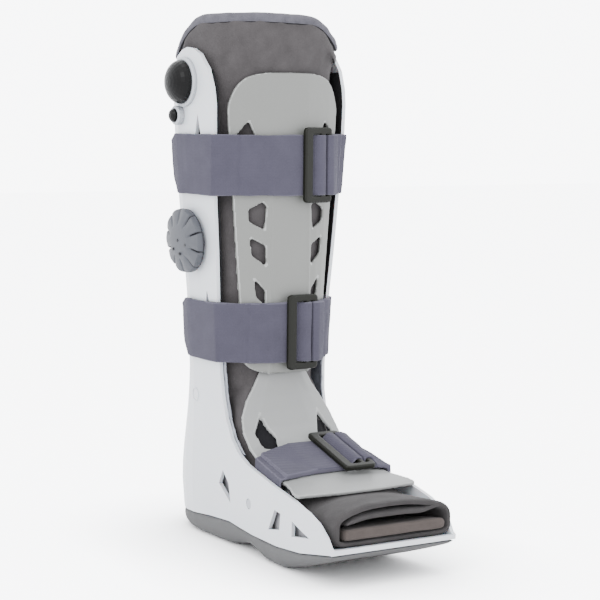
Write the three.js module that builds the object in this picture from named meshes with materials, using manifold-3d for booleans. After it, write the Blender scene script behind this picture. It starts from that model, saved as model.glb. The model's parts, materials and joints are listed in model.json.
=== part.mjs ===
// Medical walking boot: a stiff shell on a rocker sole, a padded open-toed liner,
// shin and instep panels, three buckled straps, and the air pump and dial on the shell.
// Millimetres, +Z up, the toes point along -Y, and the wearer's left is +X.

import * as THREE from 'three';
import { mergeVertices } from 'three/addons/utils/BufferGeometryUtils.js';
import Module from 'manifold-3d';

const wasm = await Module();
wasm.setup();

// Overall sizes. Forward distances are counted from the leg axis mark on the sole.
const SHELL_HEIGHT = 413;
const CALF_WIDTH = 135;
const TOE_REACH = 199;
const HEEL_LENGTH = 83;
const LEG_SET_BACK = 8;
const FOOT_FLARE = 10.8;
const LINER_RISE = 27;

// Clearance between neighbours that touch on the real boot.
const GAP = 0.35;

// Shell
const SHELL_WALL = 3.2;
const PLATE = 3.8;
const UPRIGHT_TUCK = 3.5;
const HEEL_SQUARENESS = 2.4;
const BACK_DIP_WIDTH = 104;
const BACK_DIP_DEPTH = 66;

// Sole
const SOLE_HEIGHT = 20;
const SOLE_BEVEL = 9;
const HEEL_PAD_BACK = 74;
const HEEL_PAD_FRONT = 22;
const FOREFOOT_PAD_BACK = 88;
const FOREFOOT_PAD_FRONT = 118;
const ARCH_RISE = 7;
const TOE_SPRING = 24.4;

// Upright slots and side vents
const SLOT_WIDTH = 8;
const UPPER_SLOT_LENGTH = 56;
const LOWER_SLOT_LENGTH = 52;
const SLOT_FORWARD = 6;
const PLUG_WIDTH = 9;

// Liner
const LINER_WALL = 7;
const FLAP = 5.2;
const LINER_FRONT = 49;
const LINER_RIM_FRONT = 60;
const LINER_BELL = 3;
const LINER_SLACK = 1.8;
const LINER_DIP = 16;
const TOE_OPENING_HEIGHT = 63.5;
const TOE_BACK = 4;
const INSOLE_WIDTH = 95;
const INSOLE = 8.6;
const INSOLE_HEEL = 66;

// Upright linings and air cells
const LINING = 1.2;
const LINING_LENGTH = 190;
const AIR_CELL = 1.6;

// Shin panel
const PANEL = 3.4;
const PANEL_TOP = 393;
const PANEL_FOOT = 144;
const PANEL_STRIP = 35.4;
const PANEL_TOP_WIDTH = 106.4;
const PANEL_FOOT_WIDTH = 74;
const PANEL_WRAP = 12;

// Instep panel
const INSTEP_PANEL = 3;
const INSTEP_WIDTH = 94;

// Straps and buckles
const STRAP_WIDTH = 50;
const FOOT_STRAP_WIDTH = 47;
const WEBBING = 1.8;
const UPPER_STRAP_UP = 317;
const LOWER_STRAP_UP = 179;
const FOOT_STRAP_FORWARD = 94;
const STRAP_SIDE_REACH = 30;
const BUCKLE_LENGTH = 61;
const BUCKLE_WIDTH = 28;
const BUCKLE = 3;
const BUCKLE_RAIL = 7;
const BUCKLE_BAR = 3;
const UPPER_BUCKLE_SIDE = 22;
const UPPER_BUCKLE_LEAN = 9;
const LOWER_BUCKLE_SIDE = 8.5;
const LOWER_BUCKLE_LEAN = 2;
const FOOT_BUCKLE_SIDE = 19;
const FOOT_STRAP_TUCK = 5;
const ANCHOR_FOLD = 3;

// Pump bulb, release button and selector dial on the wearer's right upright
const CONTROLS_SET_BACK = 14;
const BULB_UP = 384.5;
const BULB_WIDTH = 36.5;
const BULB_HEIGHT = 12.5;
const BULB_COLLAR_WIDTH = 41;
const COLLAR = 3;
const BUTTON_UP = 357;
const BUTTON_SET_BACK = 24;
const BUTTON_WIDTH = 11;
const BUTTON_HEIGHT = 5;
const BUTTON_TRAVEL = 2;
const BUTTON_COLLAR_WIDTH = 16;
const DIAL_UP = 253.5;
const DIAL_WIDTH = 54.5;
const DIAL_HEIGHT = 11;
const DIAL_SEAT_WIDTH = 44;
const DIAL_SEAT = 2;
const DIAL_GROOVES = 10;
const DIAL_GROOVE_WIDTH = 5;

// Outer form of the shell at heights given as shares of its height: half width as a
// share of half the calf width, reach to the back as a share of the heel length, and
// how much of the tuck its front edge takes.
const LEG_FORM = [
  { up: 0.0, half: 0.68, back: 0.93, tuck: 0.0 },
  { up: 0.048, half: 0.704, back: 0.97, tuck: 0.0 },
  { up: 0.1, half: 0.719, back: 1.0, tuck: 0.0 },
  { up: 0.136, half: 0.726, back: 0.983, tuck: 0.0 },
  { up: 0.172, half: 0.73, back: 0.943, tuck: 0.1 },
  { up: 0.208, half: 0.736, back: 0.886, tuck: 0.2 },
  { up: 0.245, half: 0.741, back: 0.828, tuck: 0.3 },
  { up: 0.278, half: 0.751, back: 0.778, tuck: 0.4 },
  { up: 0.315, half: 0.76, back: 0.741, tuck: 0.4 },
  { up: 0.349, half: 0.773, back: 0.711, tuck: 0.4 },
  { up: 0.42, half: 0.802, back: 0.688, tuck: 0.55 },
  { up: 0.506, half: 0.84, back: 0.675, tuck: 0.7 },
  { up: 0.6, half: 0.888, back: 0.706, tuck: 0.85 },
  { up: 0.683, half: 0.93, back: 0.747, tuck: 0.95 },
  { up: 0.76, half: 0.961, back: 0.781, tuck: 1.0 },
  { up: 0.833, half: 0.985, back: 0.807, tuck: 1.0 },
  { up: 0.92, half: 0.998, back: 0.83, tuck: 1.0 },
  { up: 1.0, half: 1.0, back: 0.843, tuck: 1.0 },
];

// How the foot part widens forwards, as shares of the toe reach and of the flare.
const FOOT_FORM = [
  { forward: 0.0, flare: 0.0 },
  { forward: 0.15, flare: 0.1 },
  { forward: 0.3, flare: 0.3 },
  { forward: 0.45, flare: 0.55 },
  { forward: 0.6, flare: 0.8 },
  { forward: 0.8, flare: 1.0 },
  { forward: 1.0, flare: 1.0 },
];

// Side view of the shell's free edge from the toe up to the top of the upright and
// down to the back, as shares of the toe reach and of the shell's height.
const SHELL_EDGE = [
  { forward: 0.985, up: 0.08 },
  { forward: 0.962, up: 0.097 },
  { forward: 0.91, up: 0.118 },
  { forward: 0.839, up: 0.133 },
  { forward: 0.727, up: 0.1475 },
  { forward: 0.563, up: 0.1605 },
  { forward: 0.4, up: 0.175 },
  { forward: 0.328, up: 0.182 },
  { forward: 0.25, up: 0.197 },
  { forward: 0.184, up: 0.222 },
  { forward: 0.137, up: 0.258 },
  { forward: 0.113, up: 0.3 },
  { forward: 0.102, up: 0.354 },
  { forward: 0.104, up: 0.496 },
  { forward: 0.117, up: 0.596 },
  { forward: 0.124, up: 0.69 },
  { forward: 0.143, up: 0.833 },
  { forward: 0.146, up: 0.888 },
  { forward: 0.136, up: 0.92 },
  { forward: 0.106, up: 0.957 },
  { forward: 0.05, up: 0.986 },
  { forward: 0.0, up: 0.997 },
  { forward: -0.05, up: 1.0 },
  { forward: -0.1, up: 0.995 },
  { forward: -0.155, up: 0.98 },
  { forward: -0.21, up: 0.95 },
  { forward: -0.3, up: 0.905 },
  { forward: -0.6, up: 0.86 },
];

// Line where shell and sole meet, as shares of the toe reach and of the sole's height.
const SOLE_LINE = [
  { forward: -0.6, up: 0.64 },
  { forward: -0.44, up: 0.66 },
  { forward: -0.3, up: 0.78 },
  { forward: -0.136, up: 0.895 },
  { forward: -0.02, up: 1.0 },
  { forward: 0.156, up: 1.08 },
  { forward: 0.26, up: 0.99 },
  { forward: 0.367, up: 0.92 },
  { forward: 0.583, up: 0.91 },
  { forward: 0.77, up: 1.035 },
  { forward: 0.9, up: 1.24 },
  { forward: 0.985, up: 1.37 },
  { forward: 1.3, up: 1.4 },
];

// Corners of the vents on one side of the shin panel, from the top one down: heights as
// shares of the panel's length, sides as shares of half its strip to its edge.
const SHIN_VENTS = [
  [
    { side: 0.56, up: 0.84 },
    { side: 0.86, up: 0.79 },
    { side: 0.8, up: 0.7 },
    { side: 0.3, up: 0.7 },
    { side: 0.36, up: 0.77 },
  ],
  [
    { side: 0.24, up: 0.574 },
    { side: 0.62, up: 0.548 },
    { side: 0.62, up: 0.51 },
    { side: 0.2, up: 0.482 },
    { side: 0.14, up: 0.56 },
  ],
  [
    { side: 0.6, up: 0.456 },
    { side: 0.16, up: 0.428 },
    { side: 0.16, up: 0.362 },
    { side: 0.58, up: 0.4 },
  ],
  [
    { side: 0.54, up: 0.322 },
    { side: 0.18, up: 0.278 },
    { side: 0.18, up: 0.23 },
    { side: 0.46, up: 0.26 },
  ],
];

// Corners of the windows in the foot part's sides, as shares of the toe reach and of
// the shell's height.
const SIDE_VENTS = [
  [
    { forward: 0.11, up: 0.153 },
    { forward: 0.16, up: 0.13 },
    { forward: 0.175, up: 0.09 },
    { forward: 0.075, up: 0.124 },
  ],
  [
    { forward: 0.575, up: 0.115 },
    { forward: 0.625, up: 0.112 },
    { forward: 0.612, up: 0.079 },
    { forward: 0.515, up: 0.071 },
  ],
  [
    { forward: 0.715, up: 0.106 },
    { forward: 0.845, up: 0.085 },
    { forward: 0.71, up: 0.076 },
  ],
];

// Corners of the window on one side of the instep panel, as shares of the toe reach and
// of half the panel's width.
const INSTEP_VENT = [
  { forward: 0.225, side: 0.6 },
  { forward: 0.255, side: 0.78 },
  { forward: 0.32, side: 0.74 },
  { forward: 0.355, side: 0.54 },
  { forward: 0.29, side: 0.44 },
];

// Reading of a table by straight lines between its rows.
function follow(table, key, value, at) {
  if (at <= table[0][key]) return table[0][value];
  for (let i = 1; i < table.length; i += 1) {
    const low = table[i - 1];
    const high = table[i];
    if (at <= high[key]) {
      const share = (at - low[key]) / (high[key] - low[key]);
      return low[value] + share * (high[value] - low[value]);
    }
  }
  return table[table.length - 1][value];
}

const legHalf = (z) => (CALF_WIDTH / 2) * follow(LEG_FORM, 'up', 'half', z / SHELL_HEIGHT);
const legBack = (z) => HEEL_LENGTH * follow(LEG_FORM, 'up', 'back', z / SHELL_HEIGHT);
const legTuck = (z) => UPRIGHT_TUCK * follow(LEG_FORM, 'up', 'tuck', z / SHELL_HEIGHT);
const flare = (f) => FOOT_FLARE * follow(FOOT_FORM, 'forward', 'flare', f / TOE_REACH);
const soleLine = (f) => SOLE_HEIGHT * follow(SOLE_LINE, 'forward', 'up', f / TOE_REACH);
const floorLine = (f) => soleLine(f) + PLATE;

// Front edge of an upright at a height, read off the free edge's table.
const EDGE_RISE = SHELL_EDGE.slice(0, 21);
const frontEdge = (z) => TOE_REACH * follow(EDGE_RISE, 'up', 'forward', z / SHELL_HEIGHT);

// Half width of the shell's outside at a forward distance and height.
const TUCK_LENGTH = 36;
function sideHalf(f, z) {
  const along = Math.min(Math.max((f + LEG_SET_BACK) / TUCK_LENGTH, 0), 1);
  return legHalf(z) + flare(f) - legTuck(z) * along * along;
}

// A closed body from rings of equal length. Each ring runs out along one side and back
// along the other, so its end caps are strips between its first half and its second.
function loft(rings) {
  const size = rings[0].length;
  const faces = [];
  for (let r = 0; r + 1 < rings.length; r += 1) {
    for (let k = 0; k < size; k += 1) {
      const a = r * size + k;
      const b = r * size + ((k + 1) % size);
      faces.push(a, b, b + size, a, b + size, a + size);
    }
  }
  const last = size * (rings.length - 1);
  for (let k = 0; k + 1 < size / 2; k += 1) {
    const far = size - 1 - k;
    faces.push(k, far, far - 1, k, far - 1, k + 1);
    faces.push(last + k, last + far - 1, last + far, last + k, last + k + 1, last + far - 1);
  }
  const geometry = new THREE.BufferGeometry();
  geometry.setAttribute('position', new THREE.Float32BufferAttribute(rings.flat(2), 3));
  geometry.setIndex(faces);
  return toSolid(geometry);
}

// A three.js geometry as a solid, turned right side out.
function toSolid(source) {
  const bare = source.index ? source : source.clone();
  bare.deleteAttribute('normal');
  bare.deleteAttribute('uv');
  const merged = mergeVertices(bare, 1e-4);
  const at = merged.attributes.position.array;
  const index = Uint32Array.from(merged.index.array);
  let volume = 0;
  const a = new THREE.Vector3();
  const b = new THREE.Vector3();
  const c = new THREE.Vector3();
  for (let i = 0; i < index.length; i += 3) {
    a.fromArray(at, 3 * index[i]);
    b.fromArray(at, 3 * index[i + 1]);
    c.fromArray(at, 3 * index[i + 2]);
    volume += a.dot(b.cross(c));
  }
  if (volume < 0) {
    for (let i = 0; i < index.length; i += 3) {
      [index[i], index[i + 1]] = [index[i + 1], index[i]];
    }
  }
  const mesh = new wasm.Mesh({ numProp: 3, vertProperties: Float32Array.from(at), triVerts: index });
  return new wasm.Manifold(mesh);
}

const boot = new THREE.Group();

// A named mesh from a solid.
function add(name, solid, material) {
  const { vertProperties, triVerts, numProp } = solid.getMesh();
  const geometry = new THREE.BufferGeometry();
  const position = new Float32Array((vertProperties.length / numProp) * 3);
  for (let i = 0; i < position.length / 3; i += 1) {
    for (let k = 0; k < 3; k += 1) position[3 * i + k] = vertProperties[numProp * i + k];
  }
  geometry.setAttribute('position', new THREE.BufferAttribute(position, 3));
  geometry.setIndex(new THREE.BufferAttribute(triVerts, 1));
  geometry.computeVertexNormals();
  const mesh = new THREE.Mesh(geometry, material);
  mesh.name = name;
  boot.add(mesh);
  return mesh;
}

// A straight prism. The outline is given in the view named: side is forward and up,
// front is left and up. From and to are the ends across that view.
function prism(outline, view, from, to) {
  const shape = new THREE.Shape(outline.map(([u, v]) => new THREE.Vector2(u, v)));
  const geometry = new THREE.ExtrudeGeometry(shape, { depth: to - from, bevelEnabled: false });
  geometry.translate(0, 0, from);
  const basis = new THREE.Matrix4();
  const back = new THREE.Vector3(0, -1, 0);
  const up = new THREE.Vector3(0, 0, 1);
  const left = new THREE.Vector3(1, 0, 0);
  if (view === 'side') basis.makeBasis(back, up, left);
  else basis.makeBasis(left, up, back);
  geometry.applyMatrix4(basis);
  return toSolid(geometry);
}

const material = (color, roughness, metalness = 0) =>
  new THREE.MeshStandardMaterial({ color, roughness, metalness, flatShading: true });
const SHELL_LOOK = material('#e4e7eb', 0.42);
const SOLE_LOOK = material('#8f9191', 0.8);
const PANEL_LOOK = material('#bcc0bb', 0.45);
const LINER_LOOK = material('#88827f', 0.95);
const INSOLE_LOOK = material('#7f756f', 0.9);
const STRAP_LOOK = material('#7f7c8d', 0.9);
const BUCKLE_LOOK = material('#45453e', 0.5);
const RUBBER_LOOK = material('#1b1b1b', 0.4);
const DIAL_LOOK = material('#858c93', 0.5);
const COLLAR_LOOK = material('#c9cccf', 0.5);
const LINING_LOOK = material('#2b2b2b', 0.9);
const AIR_LOOK = material('#9aa6bb', 0.25);

// Shell

const REAR_STEPS = 13;
const SIDE_STATIONS = [0.02, 0.08, 0.15, 0.3, 0.45, 0.6, 0.8, 1.3];

// Plan ring of the boot at a height, a distance inside the shell's outer face.
function bootRing(z, inset, lift = () => z) {
  const half = legHalf(z) - inset;
  const back = legBack(z) - inset;
  const power = 2 / HEEL_SQUARENESS;
  const ring = [];
  const put = (x, f) => ring.push([x, -f, lift(f)]);
  for (const s of [...SIDE_STATIONS].reverse()) {
    put(sideHalf(s * TOE_REACH, z) - inset, s * TOE_REACH);
  }
  for (let i = 0; i <= REAR_STEPS; i += 1) {
    const angle = (Math.PI * i) / REAR_STEPS;
    const across = Math.cos(angle);
    const x = half * Math.sign(across) * Math.abs(across) ** power;
    put(x, -LEG_SET_BACK - back * Math.max(Math.sin(angle), 0) ** power);
  }
  for (const s of SIDE_STATIONS) put(-(sideHalf(s * TOE_REACH, z) - inset), s * TOE_REACH);
  return ring;
}

const LEVELS = LEG_FORM.map((row) => row.up * SHELL_HEIGHT);
const point = (row) => [row.forward * TOE_REACH, row.up * SHELL_HEIGHT];

// Pointed slot along an upright, its tip upwards.
function slotOutline(topUp, length) {
  const half = SLOT_WIDTH / 2;
  const foot = topUp - length;
  return [
    [SLOT_FORWARD, topUp],
    [SLOT_FORWARD - half, topUp - length * 0.3],
    [SLOT_FORWARD - half, foot + half],
    [SLOT_FORWARD, foot],
    [SLOT_FORWARD + half, foot + half],
    [SLOT_FORWARD + half, topUp - length * 0.3],
  ];
}

const PLUG_FORWARD = 0.342 * TOE_REACH;
const PLUG_UP = 0.105 * SHELL_HEIGHT;
const PLUG_SIDES = 10;
const UPPER_SLOT_TOP = 0.868 * SHELL_HEIGHT;
const LOWER_SLOT_TOP = 0.515 * SHELL_HEIGHT;

function circle(u, v, radius, steps) {
  const ring = [];
  for (let i = 0; i < steps; i += 1) {
    const angle = (2 * Math.PI * i) / steps;
    ring.push([u + radius * Math.cos(angle), v + radius * Math.sin(angle)]);
  }
  return ring;
}

function shell() {
  const reach = CALF_WIDTH;
  const outer = loft(LEVELS.map((z) => bootRing(z, 0)));
  const inner = loft([...LEVELS, SHELL_HEIGHT * 1.1].map((z) => bootRing(z, SHELL_WALL)));
  const seam = SOLE_LINE.filter((row) => row.forward < 1);
  const bottom = seam.map((row) => [row.forward * TOE_REACH, row.up * SOLE_HEIGHT]);
  bottom.push([TOE_REACH, soleLine(TOE_REACH)]);
  const side = prism([...bottom, [TOE_REACH, floorLine(TOE_REACH)], ...SHELL_EDGE.map(point)],
    'side', -reach, reach);
  const floor = SOLE_LINE.map((row) => [
    row.forward * TOE_REACH, row.up * SOLE_HEIGHT + PLATE]);
  const above = prism([...floor, [1.3 * TOE_REACH, 1.2 * SHELL_HEIGHT],
    [-0.6 * TOE_REACH, 1.2 * SHELL_HEIGHT]], 'side', -reach, reach);
  let solid = outer.intersect(side).subtract(inner.intersect(above));
  const dip = [];
  for (let i = 0; i <= 10; i += 1) {
    const angle = (Math.PI * i) / 10;
    dip.push([(BACK_DIP_WIDTH / 2) * Math.cos(angle),
      SHELL_HEIGHT - BACK_DIP_DEPTH * Math.sin(angle)]);
  }
  dip.push([-BACK_DIP_WIDTH / 2, 1.2 * SHELL_HEIGHT], [BACK_DIP_WIDTH / 2, 1.2 * SHELL_HEIGHT]);
  solid = solid.subtract(prism(dip, 'front', -2 * HEEL_LENGTH, -LEG_SET_BACK));
  const cuts = [
    slotOutline(UPPER_SLOT_TOP, UPPER_SLOT_LENGTH),
    slotOutline(LOWER_SLOT_TOP, LOWER_SLOT_LENGTH),
    circle(PLUG_FORWARD, PLUG_UP, PLUG_WIDTH / 2, PLUG_SIDES),
    ...SIDE_VENTS.map((corners) => corners.map(point)),
  ];
  for (const cut of cuts) solid = solid.subtract(prism(cut, 'side', -reach, reach));
  return solid;
}
add('shell', shell(), SHELL_LOOK);

// Sole

// Height of the tread along the foot: heel pad, arch, forefoot pad and toe spring.
function treadLine(f) {
  const rear = -(LEG_SET_BACK + HEEL_LENGTH);
  const rows = [
    { at: rear, up: 0.2 * SOLE_HEIGHT },
    { at: -HEEL_PAD_BACK, up: 0 },
    { at: HEEL_PAD_FRONT, up: 0 },
    { at: 0.55 * HEEL_PAD_FRONT + 0.45 * FOREFOOT_PAD_BACK, up: ARCH_RISE * 0.85 },
    { at: 0.4 * HEEL_PAD_FRONT + 0.6 * FOREFOOT_PAD_BACK, up: ARCH_RISE },
    { at: 0.15 * HEEL_PAD_FRONT + 0.85 * FOREFOOT_PAD_BACK, up: ARCH_RISE * 0.5 },
    { at: FOREFOOT_PAD_BACK, up: 0 },
    { at: FOREFOOT_PAD_FRONT, up: 0 },
    { at: 0.6 * FOREFOOT_PAD_FRONT + 0.4 * TOE_REACH, up: TOE_SPRING * 0.34 },
    { at: 0.3 * FOREFOOT_PAD_FRONT + 0.7 * TOE_REACH, up: TOE_SPRING * 0.66 },
    { at: TOE_REACH, up: TOE_SPRING },
  ];
  return follow(rows, 'at', 'up', f);
}

// One ring of the sole: a share of the way up its side, and a distance in from the shell.
function soleRing(share, inset) {
  const front = TOE_REACH - 0.4 * inset;
  const back = -(LEG_SET_BACK + HEEL_LENGTH * follow(LEG_FORM, 'up', 'back', 0.04)) + inset;
  const z = SOLE_HEIGHT;
  const marks = [-HEEL_PAD_BACK, HEEL_PAD_FRONT, FOREFOOT_PAD_BACK, FOREFOOT_PAD_FRONT];
  const stations = [...marks, 0.55 * HEEL_PAD_FRONT + 0.45 * FOREFOOT_PAD_BACK,
    0.4 * HEEL_PAD_FRONT + 0.6 * FOREFOOT_PAD_BACK,
    0.15 * HEEL_PAD_FRONT + 0.85 * FOREFOOT_PAD_BACK,
    0.6 * FOREFOOT_PAD_FRONT + 0.4 * TOE_REACH,
    0.3 * FOREFOOT_PAD_FRONT + 0.7 * TOE_REACH,
    ...SOLE_LINE.map((row) => row.forward * TOE_REACH)];
  const inside = stations.filter((f) => f > -LEG_SET_BACK && f < 0.97 * TOE_REACH);
  const sides = [...new Set(inside), front].sort((a, b) => a - b);
  const half = legHalf(z) - inset;
  const length = -LEG_SET_BACK - back;
  const power = 2 / HEEL_SQUARENESS;
  const high = (f) => {
    const low = treadLine(f);
    return low + share * (soleLine(f) - GAP - low);
  };
  const ring = [];
  for (const f of [...sides].reverse()) ring.push([sideHalf(f, z) - inset, -f, high(f)]);
  for (let i = 0; i <= REAR_STEPS; i += 1) {
    const angle = (Math.PI * i) / REAR_STEPS;
    const across = Math.cos(angle);
    const x = half * Math.sign(across) * Math.abs(across) ** power;
    const f = -LEG_SET_BACK - length * Math.max(Math.sin(angle), 0) ** power;
    ring.push([x, -f, high(f)]);
  }
  for (const f of sides) ring.push([-(sideHalf(f, z) - inset), -f, high(f)]);
  return ring;
}
const SOLE_SIDE = [
  { share: 0, inset: 1 },
  { share: 0.12, inset: 0.5 },
  { share: 0.3, inset: 0.2 },
  { share: 0.6, inset: 0.03 },
  { share: 1, inset: 0 },
];
add('sole', loft(SOLE_SIDE.map((row) => soleRing(row.share, row.inset * SOLE_BEVEL))), SOLE_LOOK);

// Shin panel

const LINER_CLEAR = SHELL_WALL + Math.max(LINING, AIR_CELL) + 2 * GAP;
const PANEL_BACK_FACE = -LEG_SET_BACK + LINER_FRONT + GAP;

// Half width of the panel at a height.
function panelHalf(z) {
  const share = (z - PANEL_FOOT) / (PANEL_TOP - PANEL_FOOT);
  const foot = PANEL_FOOT_WIDTH / 2;
  return foot + (PANEL_TOP_WIDTH / 2 - foot) * Math.min(Math.max(share, 0) ** 0.9 * 1.1, 1);
}

// How far the panel's back face lies behind its strip, at a side distance.
function panelFall(x, half) {
  const strip = PANEL_STRIP / 2;
  const out = Math.min(Math.max((Math.abs(x) - strip) / (half - strip), 0), 1.25);
  return PANEL_WRAP * out * (0.55 + 0.45 * out);
}

// Point on the panel's face at a share of the way from its strip to its edge.
function panelFace(share, z) {
  const half = panelHalf(z);
  const strip = PANEL_STRIP / 2;
  const x = strip + share * (half - strip);
  const lean = share > 0 ? (0.5 * PANEL * PANEL_WRAP) / (half - strip) : 0;
  return [x + lean, PANEL_BACK_FACE - panelFall(x, half) + PANEL];
}

const PANEL_SHARES = [1, 0.67, 0.33, 0];
const PANEL_LIP = 0.5;
function panelRing(z) {
  const half = panelHalf(z);
  const strip = PANEL_STRIP / 2;
  const face = PANEL_SHARES.map((share) => panelFace(share, z));
  const back = PANEL_SHARES.map((share) => {
    const x = strip + share * (half - strip);
    return [x, PANEL_BACK_FACE - panelFall(x, half)];
  });
  const whole = (line) => [...line, ...[...line].reverse().map(([x, f]) => [-x, f])];
  return [...whole(face), ...whole(back).reverse()].map(([x, f]) => [x, -f, z]);
}

// Front outline of the panel: rounded shoulders and a rounded foot.
function panelOutline() {
  const rows = [];
  const shoulder = 0.11 * (PANEL_TOP - PANEL_FOOT);
  const toe = 0.05 * (PANEL_TOP - PANEL_FOOT);
  const wide = PANEL_TOP_WIDTH / 2 + PANEL_LIP;
  const narrow = PANEL_FOOT_WIDTH / 2 + PANEL_LIP;
  for (let i = 0; i <= 8; i += 1) {
    const angle = (Math.PI / 2) * (i / 8);
    rows.push([wide * Math.cos(angle) ** 0.55, PANEL_TOP - shoulder * (1 - Math.sin(angle))]);
  }
  for (let i = 8; i >= 0; i -= 1) {
    rows.push([-rows[i][0], rows[i][1]]);
  }
  for (let i = 0; i <= 5; i += 1) {
    const angle = (Math.PI / 2) * (i / 5);
    rows.push([-narrow * Math.cos(angle) ** 0.6, PANEL_FOOT + toe * (1 - Math.sin(angle))]);
  }
  for (let i = 4; i >= 0; i -= 1) {
    const angle = (Math.PI / 2) * (i / 5);
    rows.push([narrow * Math.cos(angle) ** 0.6, PANEL_FOOT + toe * (1 - Math.sin(angle))]);
  }
  return rows.filter((row, i) => i === 0 || Math.hypot(row[0] - rows[i - 1][0], row[1] - rows[i - 1][1]) > 0.01);
}

function shinPanel() {
  const long = PANEL_TOP - PANEL_FOOT;
  const levels = [-0.02, 0.1, 0.25, 0.4, 0.55, 0.7, 0.85, 1.02].map((s) => PANEL_FOOT + s * long);
  const strip = PANEL_STRIP / 2;
  let solid = loft(levels.map(panelRing)).intersect(prism(panelOutline(), 'front', -TOE_REACH, TOE_REACH));
  for (const corners of SHIN_VENTS) {
    for (const hand of [-1, 1]) {
      const outline = corners.map(({ side, up }) => {
        const z = PANEL_FOOT + up * long;
        return [hand * (strip + side * (panelHalf(z) - strip)), z];
      });
      solid = solid.subtract(prism(outline, 'front', 0, TOE_REACH));
    }
  }
  return solid;
}
add('shin_panel', shinPanel(), PANEL_LOOK);

// Instep panel

// Rings of the instep panel from under the shin panel down to its front edge. Forward
// and up place its middle, and edgeForward and edgeUp its edges, as shares of the toe
// reach and of the shell's height; half is a share of half the panel's width.
const INSTEP_FORM = [
  { forward: 0.194, up: 0.366, edgeForward: 0.178, edgeUp: 0.356, half: 0.46 },
  { forward: 0.203, up: 0.333, edgeForward: 0.18, edgeUp: 0.322, half: 0.62 },
  { forward: 0.216, up: 0.305, edgeForward: 0.188, edgeUp: 0.298, half: 0.77 },
  { forward: 0.235, up: 0.277, edgeForward: 0.21, edgeUp: 0.266, half: 0.92 },
  { forward: 0.265, up: 0.247, edgeForward: 0.245, edgeUp: 0.238, half: 0.975 },
  { forward: 0.31, up: 0.223, edgeForward: 0.3, edgeUp: 0.21, half: 0.98 },
  { forward: 0.37, up: 0.206, edgeForward: 0.37, edgeUp: 0.19, half: 0.98 },
  { forward: 0.46, up: 0.19, edgeForward: 0.46, edgeUp: 0.178, half: 1.0 },
  { forward: 0.56, up: 0.177, edgeForward: 0.56, edgeUp: 0.169, half: 1.05 },
  { forward: 0.61, up: 0.171, edgeForward: 0.61, edgeUp: 0.166, half: 1.07 },
  { forward: 0.66, up: 0.166, edgeForward: 0.66, edgeUp: 0.164, half: 1.13 },
  { forward: 0.7, up: 0.162, edgeForward: 0.7, edgeUp: 0.161, half: 1.2 },
  { forward: 0.73, up: 0.159, edgeForward: 0.73, edgeUp: 0.158, half: 1.22 },
  { forward: 0.764, up: 0.156, edgeForward: 0.742, edgeUp: 0.156, half: 1.2 },
];

// Direction straight out of the instep panel at one of its rows, forward and up.
function instepNormal(i) {
  const before = INSTEP_FORM[Math.max(i - 1, 0)];
  const after = INSTEP_FORM[Math.min(i + 1, INSTEP_FORM.length - 1)];
  const forward = (after.forward - before.forward) * TOE_REACH;
  const fall = (before.up - after.up) * SHELL_HEIGHT;
  const run = Math.hypot(forward, fall);
  return [fall / run, forward / run];
}

// Point on the instep panel: a row, a share across, and a depth below its face.
function instepPoint(i, share, depth, grow = 0) {
  const row = INSTEP_FORM[i];
  const [outward, upward] = instepNormal(i);
  const on = i === 0 ? -grow : grow * Math.floor((i + 1) / INSTEP_FORM.length);
  const half = (row.half * INSTEP_WIDTH) / 2;
  const strip = Math.min(PANEL_STRIP / 2, half * 0.6);
  const x = share * half;
  const out = Math.max((Math.abs(x) - strip) / (half - strip), 0);
  const f = TOE_REACH * (row.forward + (row.edgeForward - row.forward) * out);
  const z = SHELL_HEIGHT * (row.up + (row.edgeUp - row.up) * Math.min(out, 1) ** 1.3);
  return [x, -(f - depth * outward + on * upward), z - depth * upward - on * outward];
}

const ACROSS = [-1, -0.8, -0.6, -0.36, 0, 0.36, 0.6, 0.8, 1];
function instepSheet(above, below, spread, grow = 0) {
  return loft(INSTEP_FORM.map((row, i) => [
    ...ACROSS.map((share) => instepPoint(i, share * spread, -above, grow)),
    ...[...ACROSS].reverse().map((share) => instepPoint(i, share * spread, below, grow)),
  ]));
}

function instepPanel() {
  let solid = instepSheet(0, INSTEP_PANEL, 1);
  for (const hand of [-1, 1]) {
    const outline = INSTEP_VENT.map(({ forward, side }) =>
      new THREE.Vector2(hand * side * (INSTEP_WIDTH / 2), -forward * TOE_REACH));
    const shape = new THREE.Shape(outline);
    const cut = new THREE.ExtrudeGeometry(shape, { depth: SHELL_HEIGHT, bevelEnabled: false });
    solid = solid.subtract(toSolid(cut));
  }
  return solid;
}
add('instep_panel', instepPanel(), PANEL_LOOK);

// Liner

const LINER_TOP = SHELL_HEIGHT + LINER_RISE;

// Front of the liner's leg at shares of the shell's height, as a share of its reach
// behind the shin panel, and how far it has opened out to the rim's reach.
const LINER_FORM = [
  { up: 0.1, front: 0.7, open: 0 },
  { up: 0.3, front: 0.84, open: 0 },
  { up: 0.365, front: 0.86, open: 0 },
  { up: 0.42, front: 0.97, open: 0 },
  { up: 0.48, front: 1, open: 0 },
  { up: 0.953, front: 1, open: 0 },
  { up: 0.975, front: 1, open: 0.35 },
  { up: 1.01, front: 1, open: 0.8 },
  { up: 1.05, front: 1, open: 1 },
];
const linerFront = (z) => LINER_FRONT * follow(LINER_FORM, 'up', 'front', z / SHELL_HEIGHT)
  + (LINER_RIM_FRONT - LINER_FRONT) * follow(LINER_FORM, 'up', 'open', z / SHELL_HEIGHT);

// Highest point of the shell's floor under the heel and the waist of the foot.
const HEEL_FLOOR = floorLine(0.156 * TOE_REACH);

const LINER_STEPS = 20;
const LINER_POWER = 2 / 2.4;
const bent = (value, power) => Math.sign(value) * Math.abs(value) ** power;

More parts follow.
